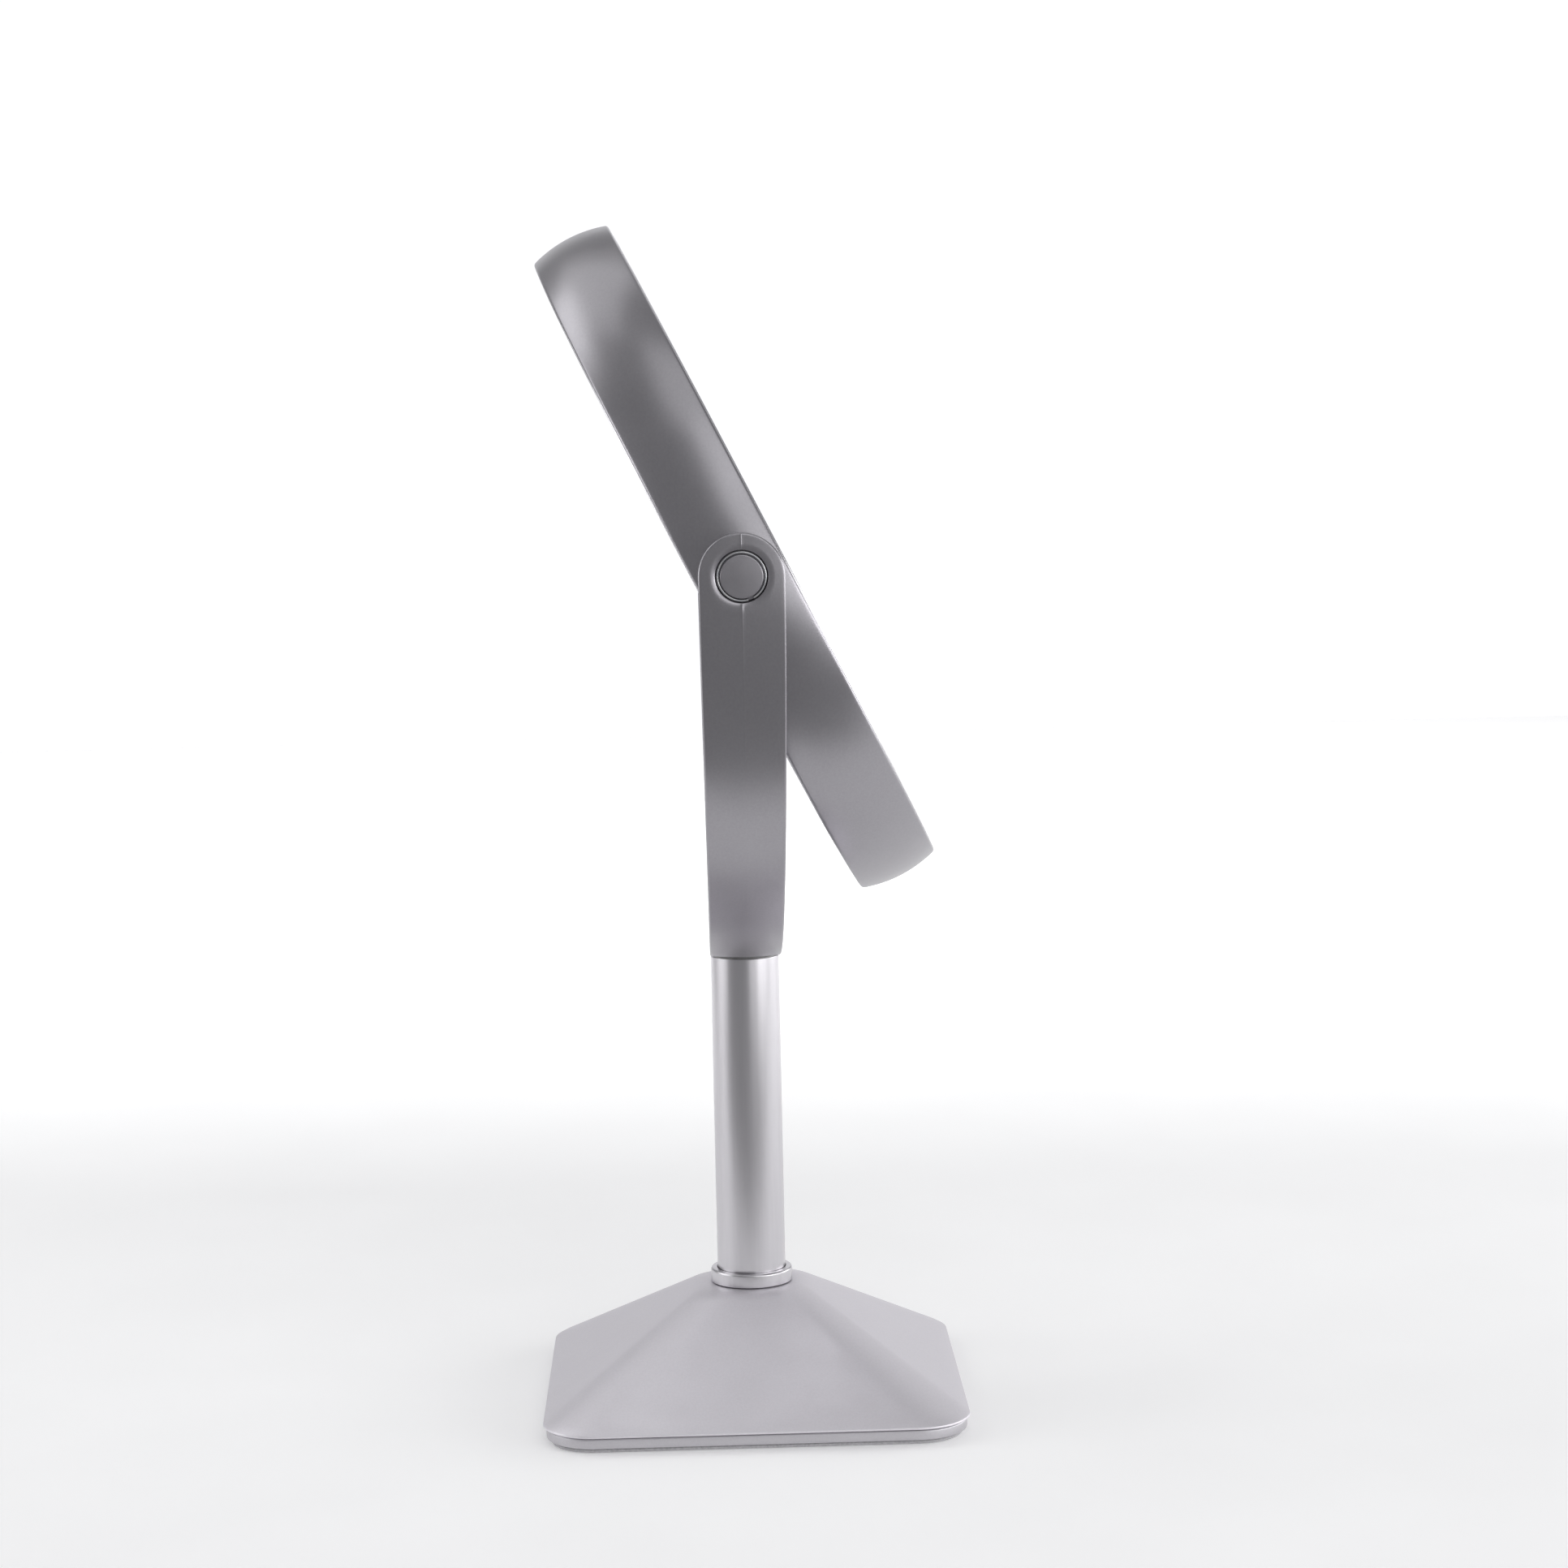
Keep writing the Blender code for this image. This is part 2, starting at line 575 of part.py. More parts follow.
def make_yoke():
    """Half ring cut to its side outline: a little wider at the pivots, where each arm ends in a round."""
    centre = (0.0, PIVOT_HEIGHT)
    rise = PIVOT_HEIGHT + 2 * ARM_HALF_WIDTH
    outer = arc(centre, YOKE_RADIUS, 180, 360, 36)
    inner = arc(centre, YOKE_INNER_RADIUS, 360, 180, 36)
    hoop = [(-YOKE_RADIUS, rise), *outer, (YOKE_RADIUS, rise), (YOKE_INNER_RADIUS, rise), *inner]
    hoop.append((-YOKE_INNER_RADIUS, rise))
    yoke = plate("yoke", hoop, -2 * ARM_HALF_WIDTH, 2 * ARM_HALF_WIDTH, SILVER, along="Y")
    low = YOKE_BOTTOM - OVERCUT
    side = [(-FOOT_HALF_WIDTH, low), (FOOT_HALF_WIDTH, low), *arc(centre, ARM_HALF_WIDTH, 0, 180, 10)]
    reach = YOKE_RADIUS + OVERCUT
    boolean(yoke, "INTERSECT", plate("yoke_side", side, -reach, reach, along="X"))
    fillet = yoke.modifiers.new("Fillet", "BEVEL")
    fillet.width = YOKE_FILLET
    fillet.segments = 1
    fillet.limit_method = "ANGLE"
    fillet.angle_limit = radians(40)
    floor = YOKE_RADIUS - COUNTERBORE_DEPTH
    for side_name, sign in (("left", -1), ("right", 1)):
        shaft_hole = SHOULDER_RADIUS + SHAFT_CLEARANCE
        profile = [
            (0.0, YOKE_RADIUS + OVERCUT),
            (COUNTERBORE_RADIUS, YOKE_RADIUS + OVERCUT),
            (COUNTERBORE_RADIUS, floor),
            (shaft_hole, floor),
            (shaft_hole, YOKE_INNER_RADIUS - OVERCUT),
            (0.0, YOKE_INNER_RADIUS - OVERCUT),
        ]
        boolean(yoke, "DIFFERENCE", aim(turned(f"pivot_bore_{side_name}", profile, facets=MEDIUM), sign))
    inside = YOKE_BOTTOM + YOKE_THICKNESS
    screw_hole = YOKE_SCREW_RADIUS + HOLE_CLEARANCE
    sink = YOKE_SCREW_SINK
    rim = screw_hole + sink + GAP
    profile = [
        (0.0, inside + OVERCUT),
        (rim, inside + OVERCUT),
        (rim, inside - GAP),
        (screw_hole, inside - GAP - sink),
        (screw_hole, YOKE_BOTTOM + SOCKET_DEPTH),
        (INNER_TUBE_RADIUS + GAP, YOKE_BOTTOM + SOCKET_DEPTH),
        (INNER_TUBE_RADIUS + GAP, YOKE_BOTTOM - OVERCUT),
        (0.0, YOKE_BOTTOM - OVERCUT),
    ]
    boolean(yoke, "DIFFERENCE", turned("yoke_socket", profile, facets=MEDIUM))
    head_top = inside - GAP
    tip = INNER_TUBE_TOP - YOKE_SCREW_REACH
    turned(
        "yoke_screw",
        [
            (0.0, head_top),
            (YOKE_SCREW_RADIUS + sink, head_top),
            (YOKE_SCREW_RADIUS, head_top - sink),
            (YOKE_SCREW_RADIUS, tip),
            (0.0, tip),
        ],
        CHROME,
        SMALL,
    )


make_yoke()

# ---------------------------------------------------------------- pivots

hub_face = HEAD_RADIUS + GAP + HUB_FLANGE_THICKNESS
hub_end = HEAD_RADIUS + GAP - HUB_BARREL_LENGTH


def make_pivot(side, sign):
    """One pivot: a hub nutted to the rim, two washers, and a shouldered screw under a round cap."""
    thread_bore = PIVOT_THREAD_RADIUS + GAP
    hub = turned(
        f"pivot_hub_{side}",
        [
            (thread_bore, hub_face),
            (HUB_FLANGE_RADIUS, hub_face),
            (HUB_FLANGE_RADIUS, hub_face - HUB_FLANGE_THICKNESS),
            (HUB_BARREL_RADIUS, hub_face - HUB_FLANGE_THICKNESS),
            (HUB_BARREL_RADIUS, hub_end),
            (thread_bore, hub_end),
        ],
        SATIN,
    )
    rim_inside = HEAD_RADIUS - RIM_CROWN - RIM_WALL
    nut_top = rim_inside - 2 * GAP
    nut = turned(
        f"hub_nut_{side}",
        disc(NUT_RADIUS, nut_top, nut_top - NUT_THICKNESS),
        STEEL,
        6,
    )
    thread = disc(HUB_BARREL_RADIUS + GAP, nut_top + OVERCUT, nut_top - NUT_THICKNESS - OVERCUT)
    boolean(nut, "DIFFERENCE", aim(turned(f"nut_bore_{side}", thread), sign))
    washer_bore = SHOULDER_RADIUS + GAP
    spring_top = hub_face + GAP + SPRING_WASHER_THICKNESS
    spring = turned(
        f"spring_washer_{side}", ring(washer_bore, WASHER_RADIUS, spring_top, hub_face + GAP), STEEL
    )
    friction_bottom = spring_top + GAP
    friction_top = friction_bottom + FRICTION_WASHER_THICKNESS
    friction = turned(
        f"friction_washer_{side}",
        ring(washer_bore, WASHER_RADIUS, friction_top, friction_bottom),
        WHITE_NYLON,
    )
    head_bottom = YOKE_RADIUS - COUNTERBORE_DEPTH + GAP
    head_top = head_bottom + PIVOT_HEAD_DEPTH
    shoulder_end = hub_face + GAP
    pin = turned(
        f"pivot_screw_{side}",
        [
            (0.0, head_top),
            (PIVOT_HEAD_RADIUS, head_top),
            (PIVOT_HEAD_RADIUS, head_bottom),
            (SHOULDER_RADIUS, head_bottom),
            (SHOULDER_RADIUS, shoulder_end),
            (PIVOT_THREAD_RADIUS, shoulder_end),
            (PIVOT_THREAD_RADIUS, hub_end + GAP),
            (0.0, hub_end + GAP),
        ],
        STEEL,
    )
    cap_top = YOKE_RADIUS - CAP_SUNK
    cap_inside = CAP_RADIUS - CAP_WALL
    cap = turned(
        f"pivot_cap_{side}",
        [
            (0.0, cap_top),
            (CAP_RADIUS - CAP_EDGE, cap_top),
            (CAP_RADIUS, cap_top - CAP_EDGE),
            (CAP_RADIUS, head_bottom),
            (cap_inside, head_bottom),
            (cap_inside, cap_top - CAP_WALL),
            (0.0, cap_top - CAP_WALL),
        ],
        SATIN,
        MEDIUM,
    )
    clip_radius = (CAP_RADIUS + COUNTERBORE_RADIUS) / 2
    clip = make_clip(f"pivot_clip_{side}", clip_radius, cap_top - CLIP_DEPTH)
    pieces = (hub, nut, spring, friction, pin, cap, clip)
    for piece in pieces:
        aim(piece, sign)
    return pieces


def make_clip(name, radius, height):
    """Split ring of round wire, in the groove between the cap and the yoke."""
    curve = bpy.data.curves.new(name, "CURVE")
    curve.dimensions = "3D"
    curve.bevel_depth = CLIP_WIRE
    curve.bevel_resolution = 1
    curve.use_fill_caps = True
    spline = curve.splines.new("POLY")
    points = arc((0.0, 0.0), radius, 160, 460, 18)
    spline.points.add(len(points) - 1)
    for point, (x, y) in zip(spline.points, points):
        point.co = (x, y, height, 1.0)
    clip = bpy.data.objects.new(name, curve)
    curve.materials.append(STEEL)
    parts.objects.link(clip)
    return clip


left = make_pivot("left", -1)
right = make_pivot("right", 1)

# ---------------------------------------------------------------- head

half_width = RIM_WIDTH / 2
edge_radius = HEAD_RADIUS - RIM_CROWN
rim_bore = edge_radius - RIM_WALL
bezel_radius = rim_bore - GAP
bezel_top = half_width + BEZEL_PROUD
glass_radius = bezel_radius - BEZEL_WALL - GLASS_CLEARANCE
glass_front = bezel_top - LIP_THICKNESS - GAP
glass_back = glass_front - GLASS
core_top = glass_back - 2 * GAP - FOAM_THICKNESS
ledge = LEDGE_THICKNESS / 2
ledge_inner = rim_bore - LEDGE_WIDTH
core_screw_radius = (ledge_inner + glass_radius) / 2
retainer_inner = ledge_inner - RETAINER_OVERLAP


def head_part(name, profile, material, facets=FINE):
    """A piece turned about the head's own axis, which points out of the plain mirror."""
    made = turned(name, profile, material, facets)
    made.rotation_euler = (pi / 2 - HEAD_TILT, 0.0, 0.0)
    made.location = (0.0, 0.0, PIVOT_HEIGHT)
    return made


def pocket_for_hub(target):
    """Clears room for the hub's barrel and nut at both pivots, out to the rim's wall."""
    for side, sign in (("left", -1), ("right", 1)):
        shape = disc(NUT_RADIUS + NUT_CLEARANCE, bezel_radius + GAP / 2, hub_end - NUT_CLEARANCE)
        boolean(target, "DIFFERENCE", aim(turned(f"{target.name}_pocket_{side}", shape), sign))


def crown():
    """The rim's outer side from its front edge to its back edge: an arc with a rounded end at each edge."""
    bulge = (half_width**2 + RIM_CROWN**2) / (2 * RIM_CROWN)
    centre = HEAD_RADIUS - bulge
    steps = 6
    half_angle = atan2(half_width - RIM_ROUND, bulge)
    turns = [half_angle * (1 - 2 * step / steps) for step in range(steps + 1)]
    side = [(centre + bulge * cos(turn), bulge * sin(turn)) for turn in turns]
    front = (edge_radius - RIM_ROUND, half_width)
    return [front, *side, (front[0], -front[1])]


def make_rim():
    """Moulded drum that the whole head hangs in, with a ledge inside for the core."""
    inside = [
        (rim_bore, -half_width),
        (rim_bore, -ledge),
        (ledge_inner, -ledge),
        (ledge_inner, ledge),
        (rim_bore, ledge),
        (rim_bore, half_width),
    ]
    rim = head_part("head_rim", crown() + inside, SILVER)
    for side, sign in (("left", -1), ("right", 1)):
        shape = disc(HUB_BARREL_RADIUS + GAP, HEAD_RADIUS + OVERCUT, hub_end - NUT_CLEARANCE)
        boolean(rim, "DIFFERENCE", aim(turned(f"rim_bore_{side}", shape), sign))
    pocket_for_hub(rim)
    return rim


def make_bezel(name, facing):
    """Snap-in ring that holds a glass's edge and stands a little proud of the rim. Its skirt is relieved
    for the hub nuts, which it reaches when the rim is narrow."""
    inner = bezel_radius - BEZEL_LIP
    skirt = bezel_radius - BEZEL_WALL
    profile = [
        (inner, bezel_top - BEZEL_EDGE),
        (inner + BEZEL_EDGE, bezel_top),
        (bezel_radius - BEZEL_EDGE, bezel_top),
        (bezel_radius, bezel_top - BEZEL_EDGE),
        (bezel_radius, glass_back - SKIRT_REACH),
        (skirt, glass_back - SKIRT_REACH),
        (skirt, bezel_top - LIP_THICKNESS),
        (inner, bezel_top - LIP_THICKNESS),
    ]
    if facing < 0:
        profile = [(radius, -height) for radius, height in reversed(profile)]
    bezel = head_part(name, profile, CHROME)
    pocket_for_hub(bezel)
    return bezel


def hollow(radius):
    """How far the magnifying mirror's face lies below its own edge at this radius."""
    return MAGNIFIER_DEPTH * (1 - (radius / glass_radius) ** 2)


def make_glasses():
    """The plain mirror in front, and the hollow-ground magnifying mirror behind."""
    plain = head_part("plain_mirror", disc(glass_radius, glass_front, glass_back), MIRROR)
    steps = 4
    radii = [glass_radius * step / steps for step in range(steps + 1)]
    inner_face = [(radius, -glass_back + hollow(radius)) for radius in radii]
    outer_face = [(radius, -glass_front + hollow(radius)) for radius in reversed(radii)]
    magnifying = head_part("magnifying_mirror", inner_face + outer_face, MIRROR)
    return [plain, magnifying]


def make_core():
    """Moulded plate behind the plain mirror and a ring behind the other, screwed to the rim's ledge."""
    web_bottom = core_top - WEB_THICKNESS
    seat = ledge + GAP
    core = head_part(
        "core_plate",
        [
            (0.0, core_top),
            (glass_radius, core_top),
            (glass_radius, seat),
            (ledge_inner, seat),
            (ledge_inner, web_bottom),
            (0.0, web_bottom),
        ],
        BLACK_PLASTIC,
    )
    tape_inner = retainer_inner + TAPE_MARGIN
    glass_inside = glass_back - hollow(tape_inner)
    retainer_back = glass_inside - 2 * GAP - TAPE_THICKNESS
    retainer = head_part(
        "retainer_ring", ring(retainer_inner, glass_radius, -seat, -retainer_back), BLACK_PLASTIC
    )
    foam_bottom = core_top + GAP
    foam = disc(glass_radius - FOAM_MARGIN, foam_bottom + FOAM_THICKNESS, foam_bottom)
    pad = head_part("plain_mirror_foam", foam, GREY_FOAM)
    tape_top = -retainer_back - GAP
    strip = ring(tape_inner, glass_radius - TAPE_MARGIN, tape_top, tape_top - TAPE_THICKNESS)
    tape = head_part("magnifier_tape", strip, GREY_FOAM)
    pocket_for_hub(core)
    pocket_for_hub(retainer)
    return [core, retainer, pad, tape, *make_core_screws(core, retainer, retainer_back)]


def make_core_screws(core, retainer, retainer_back):
    """Four screws from behind, through the ring and the ledge into the core plate."""
    rim = bpy.data.objects["head_rim"]
    tip = core_top - CORE_SCREW_TIP
    made = []
    for index in range(4):
        turn = radians(45 + 90 * index)
        shaft = [
            (0.0, tip + GAP),
            (hole_radius, tip + GAP),
            (hole_radius, -retainer_back + CORE_HEAD_ROOM),
            (recess_radius, -retainer_back + CORE_HEAD_ROOM),
            (recess_radius, -retainer_back - OVERCUT),
            (0.0, -retainer_back - OVERCUT),
        ]
        hole = turned(f"core_hole_{index + 1}", shaft, facets=HIDDEN)
        seat = -retainer_back + CORE_HEAD_ROOM - GAP
        profile = [
            (0.0, tip),
            (SCREW_RADIUS, tip),
            (SCREW_RADIUS, seat),
            (SCREW_HEAD_RADIUS, seat),
            (SCREW_HEAD_RADIUS, seat - SCREW_HEAD_DEPTH),
            (0.0, seat - SCREW_HEAD_DEPTH),
        ]
        fixing = turned(f"core_screw_{index + 1}", profile, STEEL, HIDDEN)
        place = Vector((cos(turn), sin(turn), 0.0)) * core_screw_radius
        for piece in (hole, fixing):
            piece.rotation_euler = (pi / 2 - HEAD_TILT, 0.0, 0.0)
            piece.location = piece.rotation_euler.to_matrix() @ place + Vector((0.0, 0.0, PIVOT_HEIGHT))
        for target in (core, retainer, rim):
            boolean(target, "DIFFERENCE", hole)
        made.append(fixing)
    return made


head_pieces = [make_rim(), make_bezel("front_bezel", 1), make_bezel("rear_bezel", -1)]
head_pieces += make_glasses()
head_pieces += make_core()

# ---------------------------------------------------------------- what moves with what

height_axis = empty("height_axis", (0.0, 0.0, SLIDER_BOTTOM))
swivel_axis = empty("swivel_axis", (0.0, 0.0, SLIDER_TOP))
tilt_axis = empty("tilt_axis", (0.0, 0.0, PIVOT_HEIGHT))
hang([swivel_axis], height_axis)
hang([tilt_axis], swivel_axis)
hang([bpy.data.objects[name] for name in ("slider", "grip_ring", "slider_screw")], height_axis)
mast = [bpy.data.objects[name] for name in ("inner_tube", "lower_insert", "upper_insert", "yoke")]
mast.append(bpy.data.objects["yoke_screw"])
for hub, nut, spring, friction, pin, cap, clip in (left, right):
    mast += [friction, cap, clip]
    head_pieces += [hub, nut, spring, pin]
hang(mast, swivel_axis)
hang(head_pieces, tilt_axis)

for piece in parts.objects:
    if piece.type == "MESH":
        piece.data.shade_smooth()
        piece.data.set_sharp_from_angle(angle=radians(35))
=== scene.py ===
import json
from math import asin, atan2, cos, exp, hypot, pi, radians, sin

import bmesh
import bpy
from mathutils import Matrix, Vector


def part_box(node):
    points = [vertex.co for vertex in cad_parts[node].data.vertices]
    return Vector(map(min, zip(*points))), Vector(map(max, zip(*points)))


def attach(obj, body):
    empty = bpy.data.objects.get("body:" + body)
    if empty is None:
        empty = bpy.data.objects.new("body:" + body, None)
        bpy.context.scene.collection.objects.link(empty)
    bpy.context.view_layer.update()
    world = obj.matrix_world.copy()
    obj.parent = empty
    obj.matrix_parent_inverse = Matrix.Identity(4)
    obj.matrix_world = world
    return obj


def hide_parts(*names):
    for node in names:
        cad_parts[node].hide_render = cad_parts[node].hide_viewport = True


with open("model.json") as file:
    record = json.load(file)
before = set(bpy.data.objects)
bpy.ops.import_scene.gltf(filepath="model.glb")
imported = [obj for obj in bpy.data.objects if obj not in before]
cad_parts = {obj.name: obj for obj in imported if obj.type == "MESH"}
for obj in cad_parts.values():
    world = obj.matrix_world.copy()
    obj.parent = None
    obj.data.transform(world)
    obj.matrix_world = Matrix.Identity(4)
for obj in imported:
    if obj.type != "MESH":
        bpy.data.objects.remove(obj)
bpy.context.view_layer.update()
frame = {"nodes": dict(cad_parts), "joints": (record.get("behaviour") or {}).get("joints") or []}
nodes = frame["nodes"]

# ------------------------------------------------------------------ camera
# The mirror is looked at from its left side and a little from above, so that the head is edge on
# and its plain glass faces right.

camera_place = Vector((-0.9709, 0.0119, 0.2810))
camera_heading = -0.025  # from +X towards +Y, in radians
camera_drop = 0.106  # below the horizon
camera_roll = -0.021
camera_lens = 78.2

ahead = Vector((
    cos(camera_heading) * cos(camera_drop), sin(camera_heading) * cos(camera_drop), -sin(camera_drop)
))
camera = bpy.data.objects.new("camera", bpy.data.cameras.new("camera"))
bpy.context.scene.collection.objects.link(camera)
camera.data.lens = camera_lens
camera.data.sensor_width = 36.0
camera.data.clip_start = 0.05
turn = ahead.to_track_quat("-Z", "Y").to_matrix().to_4x4() @ Matrix.Rotation(camera_roll, 4, "Z")
camera.matrix_world = Matrix.Translation(camera_place) @ turn
bpy.context.scene.camera = camera

# ------------------------------------------------------------------ ballast weight
# A cast-iron disc in the base keeps the mirror from tipping when the head is leant over. It is left
# as cast, dark and slightly rough.

NOISE_LOW, NOISE_HIGH = 0.3, 0.7  # nearly all of the noise lies between these


def new_finish(name, metallic, colour, roughness):
    """A finish with even values, which the functions below make uneven."""
    made = bpy.data.materials.new(name)
    made.use_nodes = True
    shader = made.node_tree.nodes["Principled BSDF"]
    shader.inputs["Metallic"].default_value = metallic
    shader.inputs["Base Color"].default_value = (*colour, 1.0)
    shader.inputs["Roughness"].default_value = roughness
    return made


def patches(made, size, stretch=(1.0, 1.0, 1.0), detail=2.0):
    """Soft noise in the piece's own space, with patches of this size in metres."""
    place = made.node_tree.nodes.new("ShaderNodeTexCoord")
    fit = made.node_tree.nodes.new("ShaderNodeMapping")
    fit.inputs["Scale"].default_value = [1.0 / (size * along) for along in stretch]
    noise = made.node_tree.nodes.new("ShaderNodeTexNoise")
    noise.inputs["Scale"].default_value = 1.0
    noise.inputs["Detail"].default_value = detail
    made.node_tree.links.new(place.outputs["Object"], fit.inputs["Vector"])
    made.node_tree.links.new(fit.outputs["Vector"], noise.inputs["Vector"])
    return noise.outputs["Fac"]


def uneven_colour(made, dark, light, size, stretch=(1.0, 1.0, 1.0)):
    """Lets the colour wander between two tones over patches of this size."""
    ramp = made.node_tree.nodes.new("ShaderNodeValToRGB")
    ramp.color_ramp.elements[0].position = NOISE_LOW
    ramp.color_ramp.elements[0].color = (*dark, 1.0)
    ramp.color_ramp.elements[1].position = NOISE_HIGH
    ramp.color_ramp.elements[1].color = (*light, 1.0)
    shader = made.node_tree.nodes["Principled BSDF"]
    made.node_tree.links.new(patches(made, size, stretch), ramp.inputs["Fac"])
    made.node_tree.links.new(ramp.outputs["Color"], shader.inputs["Base Color"])


def uneven_gloss(made, smooth, rough, size, stretch=(1.0, 1.0, 1.0)):
    """Lets the roughness wander between two values over patches of this size."""
    spread = made.node_tree.nodes.new("ShaderNodeMapRange")
    spread.inputs["From Min"].default_value = NOISE_LOW
    spread.inputs["From Max"].default_value = NOISE_HIGH
    spread.inputs["To Min"].default_value = smooth
    spread.inputs["To Max"].default_value = rough
    shader = made.node_tree.nodes["Principled BSDF"]
    made.node_tree.links.new(patches(made, size, stretch), spread.inputs["Value"])
    made.node_tree.links.new(spread.outputs["Result"], shader.inputs["Roughness"])


def grain(made, size, depth, stretch=(1.0, 1.0, 1.0)):
    """Raises a fine texture of this size and depth, on top of any that the finish has already."""
    bump = made.node_tree.nodes.new("ShaderNodeBump")
    bump.inputs["Distance"].default_value = depth
    shader = made.node_tree.nodes["Principled BSDF"]
    if shader.inputs["Normal"].links:
        made.node_tree.links.new(shader.inputs["Normal"].links[0].from_socket, bump.inputs["Normal"])
    made.node_tree.links.new(patches(made, size, stretch), bump.inputs["Height"])
    made.node_tree.links.new(bump.outputs["Normal"], shader.inputs["Normal"])


def give(piece, made):
    piece.data.materials.clear()
    piece.data.materials.append(made)


iron = new_finish("as_cast_iron", 0.55, (0.13, 0.13, 0.14), 0.72)
uneven_colour(iron, (0.09, 0.09, 0.10), (0.18, 0.17, 0.17), 0.006)
uneven_gloss(iron, 0.62, 0.82, 0.003)
grain(iron, 0.0012, 0.00012)
give(nodes["ballast_weight"], iron)

# ------------------------------------------------------------------ anchor bolt and washer, foot plug
# A zinc-plated bolt comes up through the weight and the cover into a steel plug in the foot of the
# tube. It clamps all of them together. None of the three shows from outside.

zinc = new_finish("zinc_plated_steel", 1.0, (0.60, 0.61, 0.63), 0.34)
uneven_colour(zinc, (0.52, 0.53, 0.56), (0.68, 0.68, 0.68), 0.0025)
uneven_gloss(zinc, 0.26, 0.42, 0.0015)
grain(zinc, 0.0003, 0.000008)
for name in ("anchor_bolt", "anchor_washer", "foot_plug"):
    give(nodes[name], zinc)

# ------------------------------------------------------------------ base cover
# A pressed shell in satin silver: four flat slopes rise from a square with round corners to the foot
# of the tube, and a slice of a slanting cone joins each pair of them. Its edge turns down to a lip.

GAP = 0.0003  # between pieces that only touch, slide or turn
cover_low, cover_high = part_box("base_cover")
tube_low, tube_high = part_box("outer_tube")
collar_low, collar_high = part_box("foot_collar")
cover_half = cover_high.x
cover_corner = 0.0150
cover_lip = 0.0008
cover_wall = 0.0016
cover_edge = 0.00045  # radius where the slope turns down into the lip
cover_burr = 0.0002  # radius under the lip
cover_hole = tube_high.x + GAP
crest_half = collar_high.x + 0.0032  # half the side of the flat top that the collar stands on
crest_corner = 0.6 * crest_half
crest_round = 0.0030  # how far its soft edge reaches each way
CORNER_STEPS = 24
EDGE_STEPS = 4
SLOPE_STEPS = 24
CREST_STEPS = 8


def rounded_square(half, corner, steps):
    """The outline of a square with round corners, anticlockwise, with the directions it faces."""
    outline = []
    for quarter in range(4):
        signs = ((1, 1), (-1, 1), (-1, -1), (1, -1))[quarter]
        for step in range(steps + 1):
            facing = radians(90 * (quarter + step / steps))
            x = signs[0] * (half - corner) + corner * cos(facing)
            y = signs[1] * (half - corner) + corner * sin(facing)
            outline.append((x, y, facing))
    return outline


def new_piece(name, mesh, made, body, node, sharp=32):
    """Puts a mesh in the scene in place of a CAD node, shaded smooth but for its sharp edges."""
    piece = bpy.data.objects.new(name, mesh)
    bpy.context.scene.collection.objects.link(piece)
    mesh.shade_smooth()
    mesh.set_sharp_from_angle(angle=radians(sharp))
    give(piece, made)
    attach(piece, body)
    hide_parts(node)
    return piece


def mesh_of(shape, name):
    """A mesh of a bmesh shape, which it frees."""
    mesh = bpy.data.meshes.new(name)
    shape.to_mesh(mesh)
    shape.free()
    return mesh


def stacked(name, loops):
    """A closed skin over loops with the same number of points, the last one joined to the first."""
    shape = bmesh.new()
    rows = [[shape.verts.new(point) for point in loop] for loop in loops]
    for here, after in zip(rows, rows[1:] + rows[:1]):
        for index in range(len(here)):
            following = (index + 1) % len(here)
            shape.faces.new((here[index], here[following], after[following], after[index]))
    bmesh.ops.remove_doubles(shape, verts=shape.verts, dist=1e-7)
    bmesh.ops.recalc_face_normals(shape, faces=shape.faces)
    return mesh_of(shape, name)


def between(outer, inner, share, height):
    """A loop part of the way from one outline in to another."""
    return [
        (x + (to_x - x) * share, y + (to_y - y) * share, height)
        for (x, y, _), (to_x, to_y, _) in zip(outer, inner)
    ]


def cover_loops():
    """Loops from the rim's underside, up its lip, along the slope, over the crest and back inside."""
    rim = rounded_square(cover_half, cover_corner, CORNER_STEPS)
    crest = rounded_square(crest_half, crest_corner, CORNER_STEPS)
    hole = [(cover_hole * cos(facing), cover_hole * sin(facing), facing) for _, _, facing in rim]
    foot = cover_low.z
    shoulder = foot + cover_lip
    slope_up = cover_high.z - shoulder
    run = cover_half - crest_half

    def inset(by, height):
        return [(x - by * cos(facing), y - by * sin(facing), height) for x, y, facing in rim]

    loops = [inset(cover_burr, foot), inset(0.0, foot + cover_burr), inset(0.0, shoulder - cover_edge)]
    tilt = atan2(slope_up, run)
    for step in range(1, EDGE_STEPS + 1):
        turned_by = (pi / 2 - tilt) * step / EDGE_STEPS
        by = cover_edge * (1 - cos(turned_by))
        loops.append(inset(by, shoulder - cover_edge + cover_edge * sin(turned_by)))
    first = cover_edge / run
    last = 1 - crest_round / run
    for step in range(1, SLOPE_STEPS + 1):
        share = first + (last - first) * step / SLOPE_STEPS
        loops.append(between(rim, crest, share, shoulder + slope_up * share))
    below = between(rim, crest, last, shoulder + slope_up * last)
    edge = between(crest, hole, 0.0, cover_high.z)
    level = between(crest, hole, crest_round / (crest_half - cover_hole), cover_high.z)
    for step in range(1, CREST_STEPS + 1):
        share = step / CREST_STEPS
        shares = ((1 - share) ** 2, 2 * share * (1 - share), share**2)
        loops.append([
            tuple(sum(part * place[axis] for part, place in zip(shares, places)) for axis in range(3))
            for places in zip(below, edge, level)
        ])
    under = cover_high.z - cover_wall
    loops.append([(x, y, cover_high.z) for x, y, _ in hole])
    loops.append([(x, y, under) for x, y, _ in hole])
    loops.append([(x, y, under) for x, y, _ in crest])
    loops.append(inset(cover_wall, foot))
    return loops


